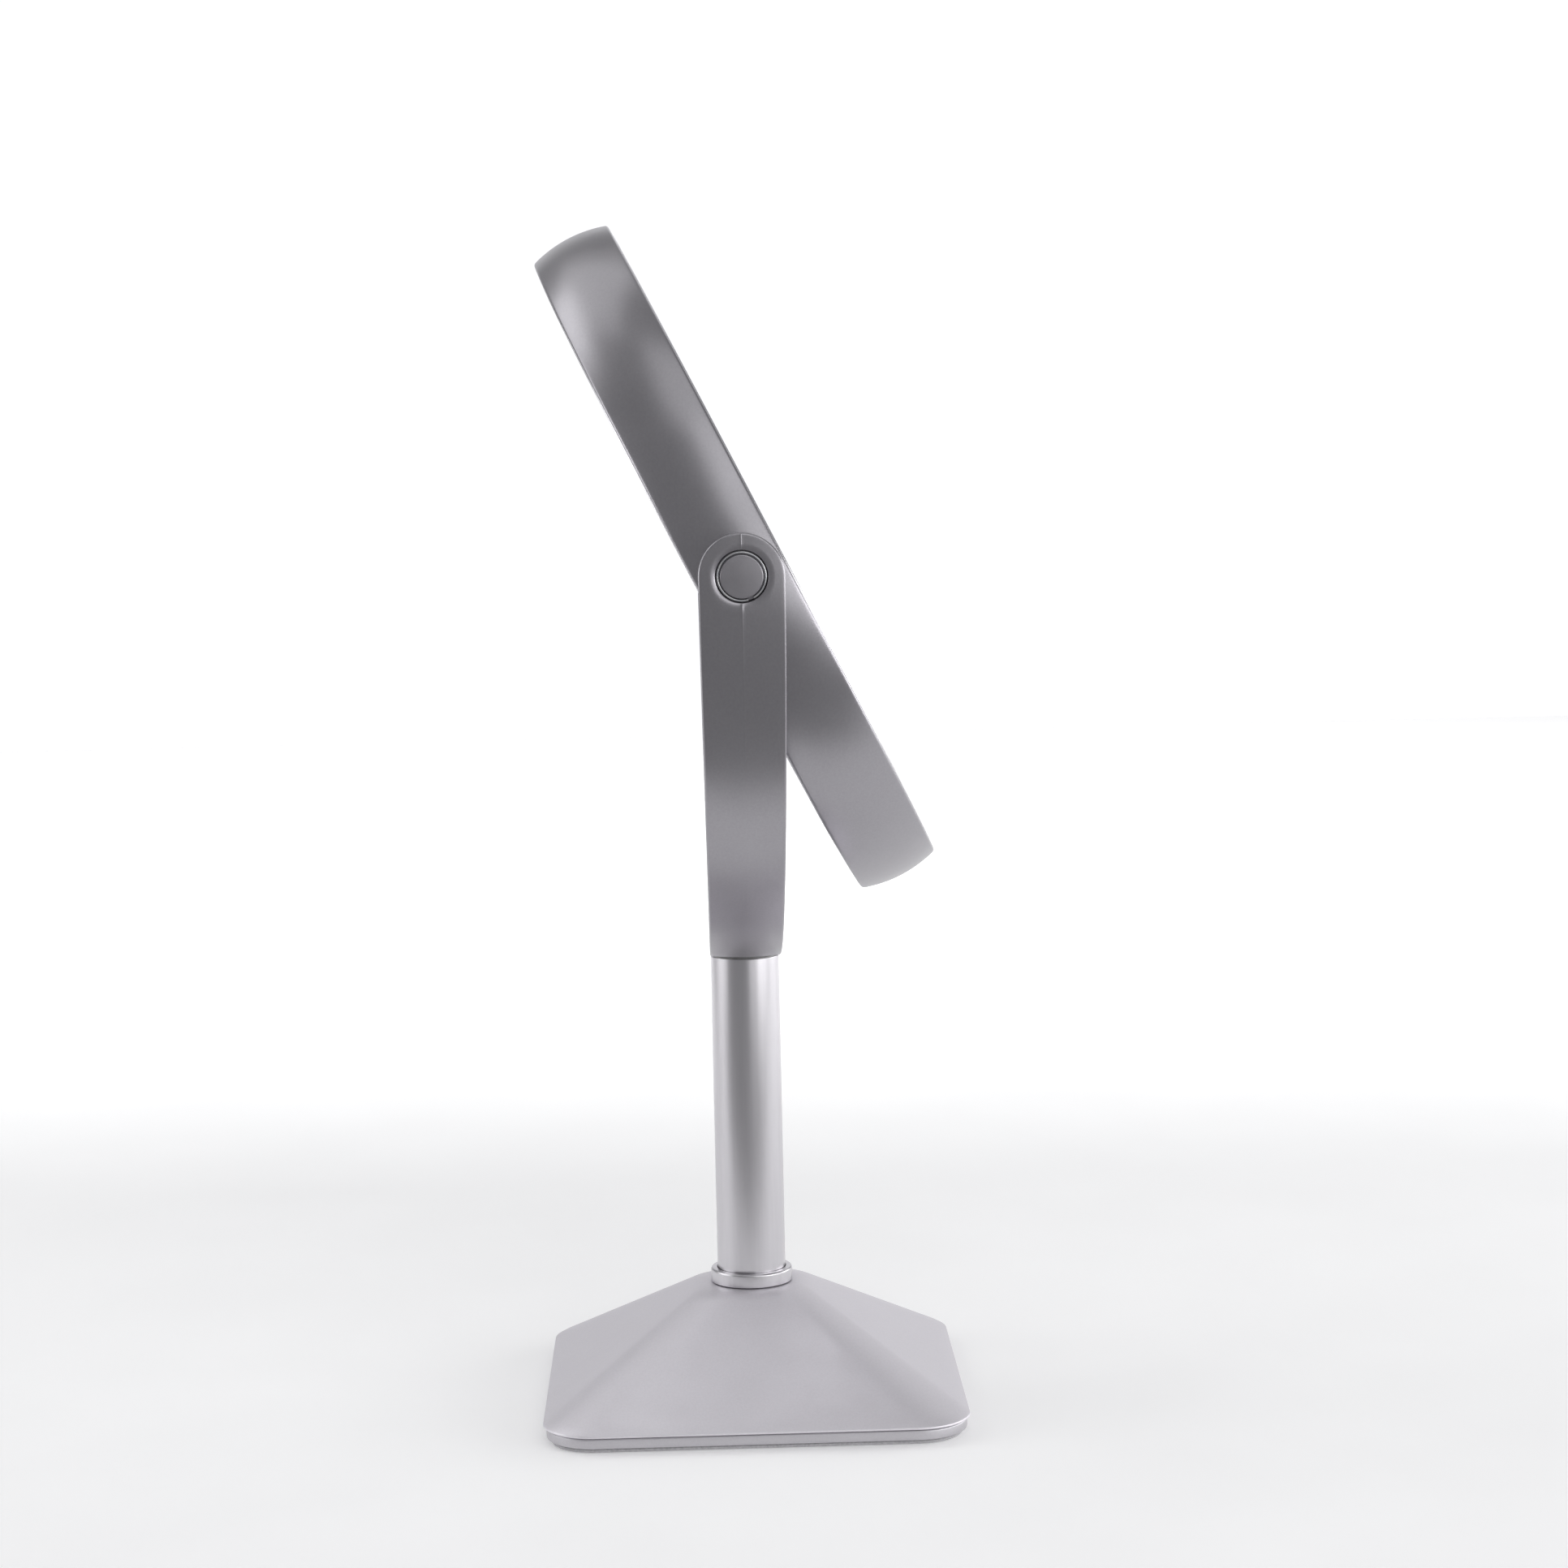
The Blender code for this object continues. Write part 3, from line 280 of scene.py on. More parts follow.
cover_silver = new_finish("satin_silver_cover", 0.90, (0.78, 0.76, 0.80), 0.54)
uneven_colour(cover_silver, (0.765, 0.745, 0.785), (0.795, 0.775, 0.815), 0.0006)
uneven_gloss(cover_silver, 0.52, 0.57, 0.012)
grain(cover_silver, 0.00035, 0.000006)
new_piece(
    "cover_shell", stacked("cover_shell", cover_loops()), cover_silver, "base", "base_cover"
)

# ------------------------------------------------------------------ outer tube
# A thin steel tube with a satin chrome finish, drawn lengthwise. It stands on the weight, and the
# anchor bolt pulls its plug down. Inside its mouth is a step for the bush's lip.

tube_wall = 0.0012
mouth_wall = 0.0006
mouth_short = 0.0001  # of the top of the bush
FINE = 0.0002  # radius of a machined edge
SOFT = 0.0003  # radius of a moulded or broken edge
ROUND = 160  # facets round a large turned piece
NEARLY_ALL = 0.95  # of a side, that one round corner may take up
ON_AXIS = 1e-9


def soft(corners, steps=4):
    """Rounds a section's corners: each is (across, up, radius), and a radius of 0 stays sharp."""
    section = []
    for index, (across, up, radius) in enumerate(corners):
        if not radius:
            section.append((across, up))
            continue
        here = Vector((across, up))
        before = Vector(corners[index - 1][:2]) - here
        after = Vector(corners[(index + 1) % len(corners)][:2]) - here
        room_before = before.length * (0.5 if corners[index - 1][2] else NEARLY_ALL)
        room_after = after.length * (0.5 if corners[(index + 1) % len(corners)][2] else NEARLY_ALL)
        half = before.angle(after) / 2
        back = min(radius * cos(half) / sin(half), room_before, room_after)
        start, end = here + before.normalized() * back, here + after.normalized() * back
        for step in range(steps + 1):
            share = step / steps
            point = (1 - share) ** 2 * start + 2 * share * (1 - share) * here + share**2 * end
            section.append((point.x, point.y))
    return section


def turned(name, section, place=None, facets=ROUND):
    """Turns a closed section of (radius, height) points about Z. Points on the axis close its ends."""
    shape = bmesh.new()
    rows = []
    for radius, height in section:
        if radius < ON_AXIS:
            rows.append([shape.verts.new((0.0, 0.0, height))] * facets)
            continue
        turns = [2 * pi * step / facets for step in range(facets)]
        rows.append([shape.verts.new((radius * cos(turn), radius * sin(turn), height)) for turn in turns])
    for here, after in zip(rows, rows[1:] + rows[:1]):
        if here[0] is here[1] and after[0] is after[1]:
            continue
        for index in range(facets):
            following = (index + 1) % facets
            corners = (here[index], here[following], after[following], after[index])
            shape.faces.new(list(dict.fromkeys(corners)))
    bmesh.ops.recalc_face_normals(shape, faces=shape.faces)
    if place:
        shape.transform(place)
    return mesh_of(shape, name)


satin = new_finish("satin_chrome", 1.0, (0.61, 0.597, 0.623), 0.31)
uneven_colour(satin, (0.60, 0.587, 0.613), (0.62, 0.607, 0.633), 0.0012, (1.0, 1.0, 14.0))
uneven_gloss(satin, 0.30, 0.32, 0.003, (1.0, 1.0, 12.0))
grain(satin, 0.0004, 0.0000002, (1.0, 1.0, 20.0))
tube_bore = tube_high.x - tube_wall
bush_low, bush_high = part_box("guide_bush")
mouth_bore = tube_high.x - mouth_wall
mouth_top = bush_high.z - mouth_short
tube_section = soft([
    (tube_bore, tube_low.z, 0.0),
    (tube_high.x, tube_low.z, FINE),
    (tube_high.x, mouth_top, FINE),
    (mouth_bore, mouth_top, FINE),
    (mouth_bore, tube_high.z, 0.0),
    (tube_bore, tube_high.z, FINE),
])
new_piece("tube_outer", turned("tube_outer", tube_section), satin, "base", "outer_tube")

# ------------------------------------------------------------------ foot collar
# A turned ring trims the joint between the cover and the tube. It has the tube's satin finish, and
# its upper edge is rounded.

collar_bore = tube_high.x + 0.0002
collar_edge = 0.0007
collar_section = soft([
    (collar_bore, collar_low.z, 0.0),
    (collar_high.x, collar_low.z, FINE),
    (collar_high.x, collar_high.z, collar_edge),
    (collar_bore, collar_high.z, 0.0),
], 6)
new_piece("collar_ring", turned("collar_ring", collar_section), satin, "base", "foot_collar")

# ------------------------------------------------------------------ guide bush
# A white nylon bush lines the mouth of the outer tube, and the thinner tube slides in it. Its lip
# rests in the step inside the mouth.

inner_low, inner_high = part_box("inner_tube")
nylon = new_finish("white_nylon", 0.0, (0.80, 0.80, 0.78), 0.42)
uneven_colour(nylon, (0.76, 0.76, 0.74), (0.84, 0.84, 0.82), 0.003)
uneven_gloss(nylon, 0.36, 0.50, 0.002)
grain(nylon, 0.0005, 0.00001)
bush_bore = inner_high.x + GAP
bush_sleeve = tube_bore - GAP
bush_lip = bush_high.z - 0.0010
lip_reach = mouth_bore - 0.0002
bush_section = soft([
    (bush_bore, bush_low.z, SOFT),
    (bush_sleeve, bush_low.z, SOFT),
    (bush_sleeve, bush_lip, 0.0),
    (lip_reach, bush_lip, FINE),
    (lip_reach, bush_high.z, SOFT),
    (bush_bore, bush_high.z, 0.0004),
])
new_piece("bush_sleeve", turned("bush_sleeve", bush_section), nylon, "base", "guide_bush")

# ------------------------------------------------------------------ bottom pan and its screws
# A shallow tray in the cover's satin silver closes the base from below and shows as a narrow plinth,
# set in a little from the cover. Its silver is made darker than the cover's, as painted shade on its
# face. Four zinc-plated screws hold it to the cover's pillars.

pan_low, pan_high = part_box("bottom_pan")
pan_corner = cover_corner - (cover_half - pan_high.x)
pan_edge = 0.0006
pan_foot = 0.0005  # its lower edge is cut off by this much
pan_wall = 0.0030
pan_floor = 0.0014
screw_reach = cover_half - cover_corner  # of the base screws from the middle, along X and along Y
hole_bore = 0.00175
head_bore = 0.00305
pillar_radius = 0.0044
head_seat = pan_low.z + 0.0016
SCREW_FACETS = 40
PAST = 0.001  # how far a cutter reaches past what it cuts


def square_loops(half, corner, section):
    """A loop for each (inset, height) of the section, round a square with round corners."""
    loops = []
    for by, height in section:
        outline = rounded_square(half - by, max(corner - by, 0.0005), CORNER_STEPS)
        loops.append([(x, y, height) for x, y, _ in outline])
    return loops


def capped(name, loops):
    """A closed skin over loops, with a flat face across the first and the last."""
    shape = bmesh.new()
    rows = [[shape.verts.new(point) for point in loop] for loop in loops]
    for here, after in zip(rows, rows[1:]):
        for index in range(len(here)):
            following = (index + 1) % len(here)
            shape.faces.new((here[index], here[following], after[following], after[index]))
    shape.faces.new(rows[0])
    shape.faces.new(rows[-1])
    bmesh.ops.recalc_face_normals(shape, faces=shape.faces)
    return mesh_of(shape, name)


def worked(mesh, operation, tool):
    """The mesh with a tool mesh cut from it or joined to it."""
    target = bpy.data.objects.new("target", mesh)
    other = bpy.data.objects.new("tool", tool)
    for made in (target, other):
        bpy.context.scene.collection.objects.link(made)
    step = target.modifiers.new("Work", "BOOLEAN")
    step.operation = operation
    step.object = other
    bpy.context.view_layer.update()
    result = bpy.data.meshes.new_from_object(target.evaluated_get(bpy.context.evaluated_depsgraph_get()))
    result.name = mesh.name
    for made in (target, other):
        bpy.data.objects.remove(made, do_unlink=True)
    return result


top_turns = [radians(90 - 18 * step) for step in range(6)]
top_edge = [(pan_edge * (1 - sin(turn)), pan_high.z - pan_edge * (1 - cos(turn))) for turn in top_turns]
pan_mesh = capped("plinth_pan", square_loops(pan_high.x, pan_corner, [
    (pan_foot, pan_low.z),
    (pan_foot / 5, pan_low.z + pan_foot / 5),
    (0.0, pan_low.z + pan_foot),
    *top_edge,
    (pan_wall, pan_high.z),
    (pan_wall, pan_low.z + pan_floor),
]))
for sign_x in (-1, 1):
    for sign_y in (-1, 1):
        place = Matrix.Translation((sign_x * screw_reach, sign_y * screw_reach, 0.0))
        pillar = soft([
            (0.0, pan_low.z + pan_floor / 2, 0.0),
            (pillar_radius, pan_low.z + pan_floor / 2, 0.0),
            (pillar_radius, pan_high.z, 0.0),
            (0.0, pan_high.z, 0.0),
        ])
        bore = soft([
            (0.0, pan_low.z - PAST, 0.0),
            (head_bore, pan_low.z - PAST, 0.0),
            (head_bore, head_seat, 0.0),
            (hole_bore, head_seat, 0.0),
            (hole_bore, pan_high.z + PAST, 0.0),
            (0.0, pan_high.z + PAST, 0.0),
        ])
        pan_mesh = worked(pan_mesh, "UNION", turned("pillar", pillar, place, SCREW_FACETS))
        pan_mesh = worked(pan_mesh, "DIFFERENCE", turned("bore", bore, place, SCREW_FACETS))
# The cover's satin silver made darker: painted shade on the plinth's face.
pan_silver_painted_shade = new_finish("satin_silver_pan_painted_shade", 0.90, (0.56, 0.547, 0.575), 0.48)
uneven_colour(pan_silver_painted_shade, (0.545, 0.532, 0.56), (0.575, 0.562, 0.59), 0.0006)
uneven_gloss(pan_silver_painted_shade, 0.46, 0.51, 0.012)
grain(pan_silver_painted_shade, 0.00035, 0.000006)
new_piece("plinth_pan", pan_mesh, pan_silver_painted_shade, "base", "bottom_pan")
for index in range(1, 5):
    give(nodes[f"base_screw_{index}"], zinc)

# ------------------------------------------------------------------ base pad
# A sheet of soft grey foam is stuck under the whole base, so that it neither slips nor scratches. A
# thin edge of it shows.

pad_low, pad_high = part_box("base_pad")
pad_corner = pan_corner - (pan_high.x - pad_high.x)
pad_edge = 0.0003
foam = new_finish("grey_foam", 0.0, (0.46, 0.455, 0.47), 0.85)
uneven_colour(foam, (0.40, 0.395, 0.41), (0.52, 0.515, 0.53), 0.0008)
uneven_gloss(foam, 0.78, 0.92, 0.002)
grain(foam, 0.0004, 0.00008)
pad_mesh = capped("foot_pad", square_loops(pad_high.x, pad_corner, [
    (pad_edge, pad_low.z),
    (0.0, pad_low.z + pad_edge),
    (0.0, pad_high.z - pad_edge),
    (pad_edge, pad_high.z),
]))
pad = new_piece("foot_pad", pad_mesh, foam, "base", "base_pad")

# ------------------------------------------------------------------ slider, grip ring and lower insert
# A nylon plug slides in the outer tube, with a rubber ring in its groove that grips the bore. A screw
# through it goes up into a brass insert, and the inner tube turns on it. All of it is hidden.

rubber = new_finish("black_rubber", 0.0, (0.03, 0.03, 0.03), 0.75)
uneven_colour(rubber, (0.022, 0.022, 0.022), (0.045, 0.045, 0.045), 0.001)
uneven_gloss(rubber, 0.68, 0.85, 0.001)
grain(rubber, 0.0003, 0.00001)
brass = new_finish("turned_brass", 1.0, (0.72, 0.54, 0.26), 0.28)
uneven_colour(brass, (0.64, 0.47, 0.22), (0.78, 0.60, 0.31), 0.002)
uneven_gloss(brass, 0.22, 0.36, 0.0006, (8.0, 8.0, 0.4))
grain(brass, 0.0002, 0.000006, (10.0, 10.0, 0.5))
give(nodes["slider"], nylon)
give(nodes["grip_ring"], rubber)
give(nodes["slider_screw"], zinc)
give(nodes["lower_insert"], brass)

# ------------------------------------------------------------------ inner tube and upper insert
# A thinner tube in bright chrome carries the yoke. It is right down inside the outer one here, and
# shows when the mirror is raised.

polished = new_finish("polished_chrome", 1.0, (0.84, 0.83, 0.85), 0.13)
uneven_colour(polished, (0.82, 0.81, 0.83), (0.87, 0.86, 0.88), 0.004)
uneven_gloss(polished, 0.10, 0.17, 0.002)
grain(polished, 0.0004, 0.0000012)
inner_wall = 0.0010
inner_bore = inner_high.x - inner_wall
inner_section = soft([
    (inner_bore, inner_low.z, 0.0),
    (inner_high.x, inner_low.z, FINE),
    (inner_high.x, inner_high.z, FINE),
    (inner_bore, inner_high.z, 0.0),
])
new_piece(
    "tube_inner", turned("tube_inner", inner_section), polished, "mast", "inner_tube"
)
give(nodes["upper_insert"], brass)

# ------------------------------------------------------------------ yoke
# A half ring moulded in satin silver. Its outer side is crowned, with a faint ridge and a thread of
# flash along the parting line, and each arm ends in a round with a dished recess for the pivot.

yoke_low, yoke_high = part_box("yoke")
pivot = Vector(next(joint["pos_m"] for joint in frame["joints"] if joint["name"] == "tilt"))
yoke_radius = yoke_high.x
yoke_thick = 0.0060
arm_half = yoke_high.y
foot_half = tube_high.x + 0.0002
yoke_round = 0.0006  # radius along all its edges
ridge_fall = 0.00020  # from the ridge to the edge, as a straight slope
crown_fall = 0.00045  # and as a curve
flash_height = 0.00006
flash_half = 0.00011
flash_reach = 0.065  # down the arm, where it has faded out
recess_edge = 0.0067
recess_depth = 0.0028
dish_edge = 0.00805
dish_fall = 0.00040
shaft_bore = 0.0033
recess_round = 0.00020  # radius at the recess's mouth and floor
frame_down = 0.0150  # from the pivot to where the plain strip of the arm starts
STRIP_ROWS = 60
END_STEPS = 16
SIDE_STEPS = 8
BORE_FACETS = 64

silver = new_finish("satin_silver", 0.90, (0.378, 0.368, 0.392), 0.31)
uneven_colour(silver, (0.365, 0.355, 0.379), (0.391, 0.381, 0.405), 0.0006)
uneven_gloss(silver, 0.29, 0.33, 0.012)
grain(silver, 0.00035, 0.000006)


def half_width(down):
    """Half the yoke's width at a distance down the arm from the pivot, along the outer side."""
    fallen = sin(max(down, 0.0) / yoke_radius)
    return arm_half + (foot_half - arm_half) * fallen


def face_depth(down, across):
    """How far the outer side lies below its own highest place."""
    from_pivot = hypot(down, across)
    share = min((from_pivot if down < 0 else across) / half_width(down), 1.0)
    fall = flash_height + ridge_fall * share + crown_fall * share**2
    if from_pivot < dish_edge:
        fall += dish_fall * ((dish_edge - from_pivot) / (dish_edge - recess_edge)) ** 1.4
    fade = max(0.0, 1.0 - max(down, 0.0) / flash_reach)
    return fall - flash_height * fade * exp(-((across / flash_half) ** 2))


def yoke_point(down, across, depth):
    """A place on or in the left arm, which goes straight up above the pivot."""
    radius = yoke_radius - depth
    if down < 0:
        return (-radius, across, pivot.z - down)
    return (-radius * cos(down / yoke_radius), across, pivot.z - radius * sin(down / yoke_radius))


def columns(width):
    """Distances from the parting line to the edge, close together beside the line."""
    close = [0.0, 0.00008, 0.00016, 0.00030]
    steps = 9
    return close + [close[-1] + (width - close[-1]) * (step + 1) / steps for step in range(steps)]


def frame_border():
    """The frame round the pivot: over the round end, down the edge, and in along the strip's first row.
    It gives the points and how many of them lie on the arm's real edge."""
    edge = arm_half - yoke_round
    turns = [pi / 2 - asin(place / edge) for place in columns(edge)[:4]]
    turns += [turns[-1] * (1 - (step + 1) / END_STEPS) for step in range(END_STEPS)]
    border = [(-edge * sin(turn), edge * cos(turn)) for turn in turns]
    for step in range(1, SIDE_STEPS + 1):
        down = frame_down * step / SIDE_STEPS
        border.append((down, half_width(down) - yoke_round))
    on_edge = len(border)
    row = columns(half_width(frame_down) - yoke_round)
    return border + [(frame_down, across) for across in reversed(row[:-1])], on_edge


def bore_ring(border, radius, sunk=0.0, depth=None):
    """A ring round the pivot in line with the border's points, below the outer side or at a depth."""
    ring = []
    for down, across in border:
        reach = hypot(down, across)
        place = (radius * down / reach, radius * across / reach)
        ring.append((*place, face_depth(*place) + sunk if depth is None else depth))
    return ring


def blended(border, inner, share, depth=None):
    """A ring part of the way from an inner one out to the border."""
    ring = []
    for (down, across), near in zip(border, inner):
        place = (near[0] + (down - near[0]) * share, near[1] + (across - near[1]) * share)
        ring.append((*place, face_depth(*place) if depth is None else depth))
    return ring


def pivot_rings(border):
    """From the border in over the dish, down the recess, through the arm and out to the border again."""
    dish = bore_ring(border, dish_edge)
    shaft = bore_ring(border, shaft_bore, depth=yoke_thick)
    rings = [blended(border, dish, step / 5) for step in range(5, 0, -1)]
    rings += [dish, bore_ring(border, (dish_edge + recess_edge) / 2)]
    near_edge = 0.3 * recess_round
    rings += [bore_ring(border, recess_edge + recess_round)]
    rings += [bore_ring(border, recess_edge + near_edge, near_edge)]
    rings += [bore_ring(border, recess_edge, recess_round), bore_ring(border, recess_edge, depth=0.0020)]
    rings += [bore_ring(border, recess_edge, depth=recess_depth - recess_round)]
    rings += [bore_ring(border, recess_edge - recess_round, depth=recess_depth)]
    rings += [bore_ring(border, shaft_bore, depth=recess_depth), shaft]
    return rings + [blended(border, shaft, step / 4, yoke_thick) for step in range(1, 5)]


def edge_section():
    """(out, depth, from the outer side) round the edge: a fillet, the side, and a fillet inside."""
    turns = [radians(18 * step) for step in range(6)]
    outer = [(yoke_round * sin(turn), yoke_round * (1 - cos(turn)), True) for turn in turns]
    inner = [(yoke_round * cos(turn), yoke_thick - yoke_round * (1 - sin(turn)), False) for turn in turns]
    return outer + inner


def quarter_yoke():
    """The front half of the left arm, down to the middle of the yoke, open where the others join it."""
    border, on_edge = frame_border()
    grids = [pivot_rings(border)]
    strip = [
        frame_down + (yoke_radius * pi / 2 - frame_down) * step / STRIP_ROWS
        for step in range(STRIP_ROWS + 1)
    ]
    rows = [(down, columns(half_width(down) - yoke_round)) for down in strip]
    grids.append([[(down, across, face_depth(down, across)) for across in row] for down, row in rows])
    grids.append([[(down, across, yoke_thick) for across in row] for down, row in rows])
    rail = border[:on_edge] + [(down, row[-1]) for down, row in rows[1:]]
    walls = []
    for out, depth, from_outer in edge_section():
        wall = []
        for down, across in rail:
            reach = hypot(down, across)
            facing = (down / reach, across / reach) if down < 0 else (0.0, 1.0)
            start = face_depth(down, across) if from_outer else 0.0
            wall.append((down + facing[0] * out, across + facing[1] * out, start + depth))
        walls.append(wall)
    grids.append(walls)
    shape = bmesh.new()
    for grid in grids:
        rows = [[shape.verts.new(yoke_point(*place)) for place in row] for row in grid]
        for here, after in zip(rows, rows[1:]):
            for index in range(len(here) - 1):
                shape.faces.new((here[index], here[index + 1], after[index + 1], after[index]))
    bmesh.ops.remove_doubles(shape, verts=shape.verts, dist=2e-6)
    bmesh.ops.recalc_face_normals(shape, faces=shape.faces)
    return mesh_of(shape, "yoke_hoop")


def mirrored(mesh):
    """The mesh with its mirror images across X and Y, joined at those planes."""
    target = bpy.data.objects.new("target", mesh)
    bpy.context.scene.collection.objects.link(target)
    step = target.modifiers.new("Mirror", "MIRROR")
    step.use_axis = (True, True, False)
    step.merge_threshold = 1e-6
    bpy.context.view_layer.update()
    result = bpy.data.meshes.new_from_object(target.evaluated_get(bpy.context.evaluated_depsgraph_get()))
    result.name = mesh.name
    bpy.data.objects.remove(target, do_unlink=True)
    return result


screw_low, screw_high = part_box("yoke_screw")
yoke_inside = yoke_low.z + yoke_thick
screw_bore = 0.00205
screw_sink = 0.0019
screw_mouth = screw_bore + screw_sink + GAP
socket_bore = inner_high.x + GAP
socket_top = inner_high.z + GAP
yoke_bores = soft([
    (0.0, yoke_inside + 2 * PAST, 0.0),
    (screw_mouth, yoke_inside + 2 * PAST, 0.0),
    (screw_mouth, yoke_inside - GAP, 0.0),
    (screw_bore, yoke_inside - GAP - screw_sink, 0.0),
    (screw_bore, socket_top, 0.0),
    (socket_bore, socket_top, 0.0),
    (socket_bore, yoke_low.z - 2 * PAST, 0.0),
    (0.0, yoke_low.z - 2 * PAST, 0.0),
])
hoop = worked(mirrored(quarter_yoke()), "DIFFERENCE", turned("yoke_bores", yoke_bores, None, BORE_FACETS))
new_piece("yoke_hoop", hoop, silver, "mast", "yoke", sharp=40)

# ------------------------------------------------------------------ yoke screw
# A countersunk steel screw goes down through the bottom of the yoke into the brass insert in the
# inner tube. Its crossed slot is seen from above, under the head.

shank = screw_high.x - screw_sink
screw_land = 0.0001
SCREW_HEAD_FACETS = 48
slot_long, slot_wide, slot_tall = 0.0036, 0.0007, 0.0022
screw_section = soft([
    (0.0, screw_low.z, 0.0),
    (shank, screw_low.z, SOFT),
    (shank, screw_high.z - screw_sink, 0.0),
    (screw_high.x, screw_high.z - screw_land, screw_land),
    (screw_high.x - 2 * screw_land, screw_high.z, 0.0),
    (0.0, screw_high.z, 0.0),
])
screw_mesh = turned("fixing_screw", screw_section, None, SCREW_HEAD_FACETS)
for turn in (0.0, pi / 2):
    slot_shape = bmesh.new()
    slot_size = Matrix.Diagonal((slot_long, slot_wide, slot_tall, 1.0))
    bmesh.ops.create_cube(slot_shape, size=1.0, matrix=Matrix.Rotation(turn, 4, "Z") @ slot_size)
    slot_shape.transform(Matrix.Translation((0.0, 0.0, screw_high.z)))
    screw_mesh = worked(screw_mesh, "DIFFERENCE", mesh_of(slot_shape, "slot"))
new_piece("fixing_screw", screw_mesh, polished, "mast", "yoke_screw")

# ------------------------------------------------------------------ head rim
# A crowned drum moulded in the same satin silver, open at both faces. A ledge runs round inside it
# for the core, and both pivot hubs go through its wall.

head_lean = radians(26.5)
head_place = Matrix.Translation(pivot) @ Matrix.Rotation(pi / 2 - head_lean, 4, "X")
rim_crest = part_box("head_rim")[1].x
rim_half = 0.01165
rim_crown = 0.0019
rim_bore = 0.0969
rim_round = 0.0011
ledge_bore = 0.0885
ledge_half = 0.0015
LARGE = 256  # facets round the head
hub_low, hub_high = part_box("pivot_hub_right")
hub_bore_radius = 0.0053
nut_room = 0.0078
crown_stop = 0.0013  # from each face to where the crown ends
CROWN_STEPS = 26


def rim_section():
    """The crown from front to back, rounded at both edges, and the inside with its ledge."""
    bulge = (rim_half**2 + rim_crown**2) / (2 * rim_crown)
    centre = rim_crest - bulge
    reach = asin((rim_half - crown_stop) / bulge)
    corners = [(rim_bore, rim_half, SOFT), (rim_crest - rim_crown, rim_half, rim_round)]
    for step in range(CROWN_STEPS + 1):
        turn = reach * (1 - 2 * step / CROWN_STEPS)
        corners.append((centre + bulge * cos(turn), bulge * sin(turn), 0.0))
    corners += [(rim_crest - rim_crown, -rim_half, rim_round), (rim_bore, -rim_half, SOFT)]
    corners += [(rim_bore, -ledge_half, 0.0), (ledge_bore, -ledge_half, 0.0)]
    corners += [(ledge_bore, ledge_half, 0.0), (rim_bore, ledge_half, 0.0)]
    return soft(corners, 6)


cut_end = rim_bore - 0.0002
rim_mesh = turned("rim_drum", rim_section(), head_place, LARGE)
for sign in (-1, 1):
    place = Matrix.Translation(pivot) @ Matrix.Rotation(sign * pi / 2, 4, "Y")
    wall_bore = soft([
        (0.0, rim_bore - 2 * PAST, 0.0),
        (hub_bore_radius, rim_bore - 2 * PAST, 0.0),
        (hub_bore_radius, rim_crest + 2 * PAST, 0.0),
        (0.0, rim_crest + 2 * PAST, 0.0),
    ])
    ledge_cut = soft([
        (0.0, ledge_bore - 3 * PAST, 0.0),
        (nut_room, ledge_bore - 3 * PAST, 0.0),
        (nut_room, cut_end, 0.0),
        (0.0, cut_end, 0.0),
    ])
    rim_mesh = worked(rim_mesh, "DIFFERENCE", turned("wall_bore", wall_bore, place, BORE_FACETS))
    rim_mesh = worked(rim_mesh, "DIFFERENCE", turned("ledge_cut", ledge_cut, place, BORE_FACETS))
new_piece("rim_drum", rim_mesh, silver, "head", "head_rim", sharp=40)

# ------------------------------------------------------------------ pivot hubs and their nuts
# A turned steel hub sits in each side of the rim, with a nut inside it. Its flange shows in the gap
# between the rim and the yoke. The pivot screw is threaded into it.

hub_flange = 0.0022
hub_barrel = 0.0050
hub_thread = 0.0025
hub_reach = hub_high.x
hub_radius = hub_high.z - pivot.z
HUB_FACETS = 96
hub_section = soft([
    (hub_thread, hub_low.x, FINE),
    (hub_barrel, hub_low.x, SOFT),
    (hub_barrel, hub_reach - hub_flange, 0.0),
    (hub_radius, hub_reach - hub_flange, SOFT),
    (hub_radius, hub_reach, 0.0004),
    (hub_thread, hub_reach, FINE),
])
pivot_places = {}
for side, sign in (("left", -1), ("right", 1)):
    pivot_places[side] = Matrix.Translation(pivot) @ Matrix.Rotation(sign * pi / 2, 4, "Y")
    hub_mesh = turned(f"hub_{side}", hub_section, pivot_places[side], HUB_FACETS)
    new_piece(f"hub_{side}", hub_mesh, satin, "head", f"pivot_hub_{side}")
    give(nodes[f"hub_nut_{side}"], zinc)
    give(nodes[f"pivot_screw_{side}"], zinc)

# ------------------------------------------------------------------ core plate, retainer ring and screws
# A black moulded plate lies behind the plain glass and a ring behind the magnifying one. Four screws
# pull them together on the rim's ledge. Neither shows once the glasses are in.

black = new_finish("black_plastic", 0.0, (0.04, 0.04, 0.042), 0.48)
uneven_colour(black, (0.033, 0.033, 0.035), (0.05, 0.05, 0.052), 0.004)
uneven_gloss(black, 0.42, 0.56, 0.003)
grain(black, 0.0006, 0.00002)
for name in ("core_plate", "retainer_ring"):
    give(nodes[name], black)
for index in range(1, 5):
    give(nodes[f"core_screw_{index}"], zinc)

# ------------------------------------------------------------------ foam behind the glasses
# A thin disc of grey foam takes up the play behind the plain glass, and a ring of foam tape does so
# behind the magnifying one.

for name in ("plain_mirror_foam", "magnifier_tape"):
    give(nodes[name], foam)

# ------------------------------------------------------------------ the two glasses
# Silvered glass with ground edges: a flat plain mirror in front, and a hollow magnifying mirror at the
# back.

glass_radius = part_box("plain_mirror")[1].x
glass_front = 0.0109
glass_back = 0.0082
magnifier_hollow = 0.0050
HOLLOW_STEPS = 28

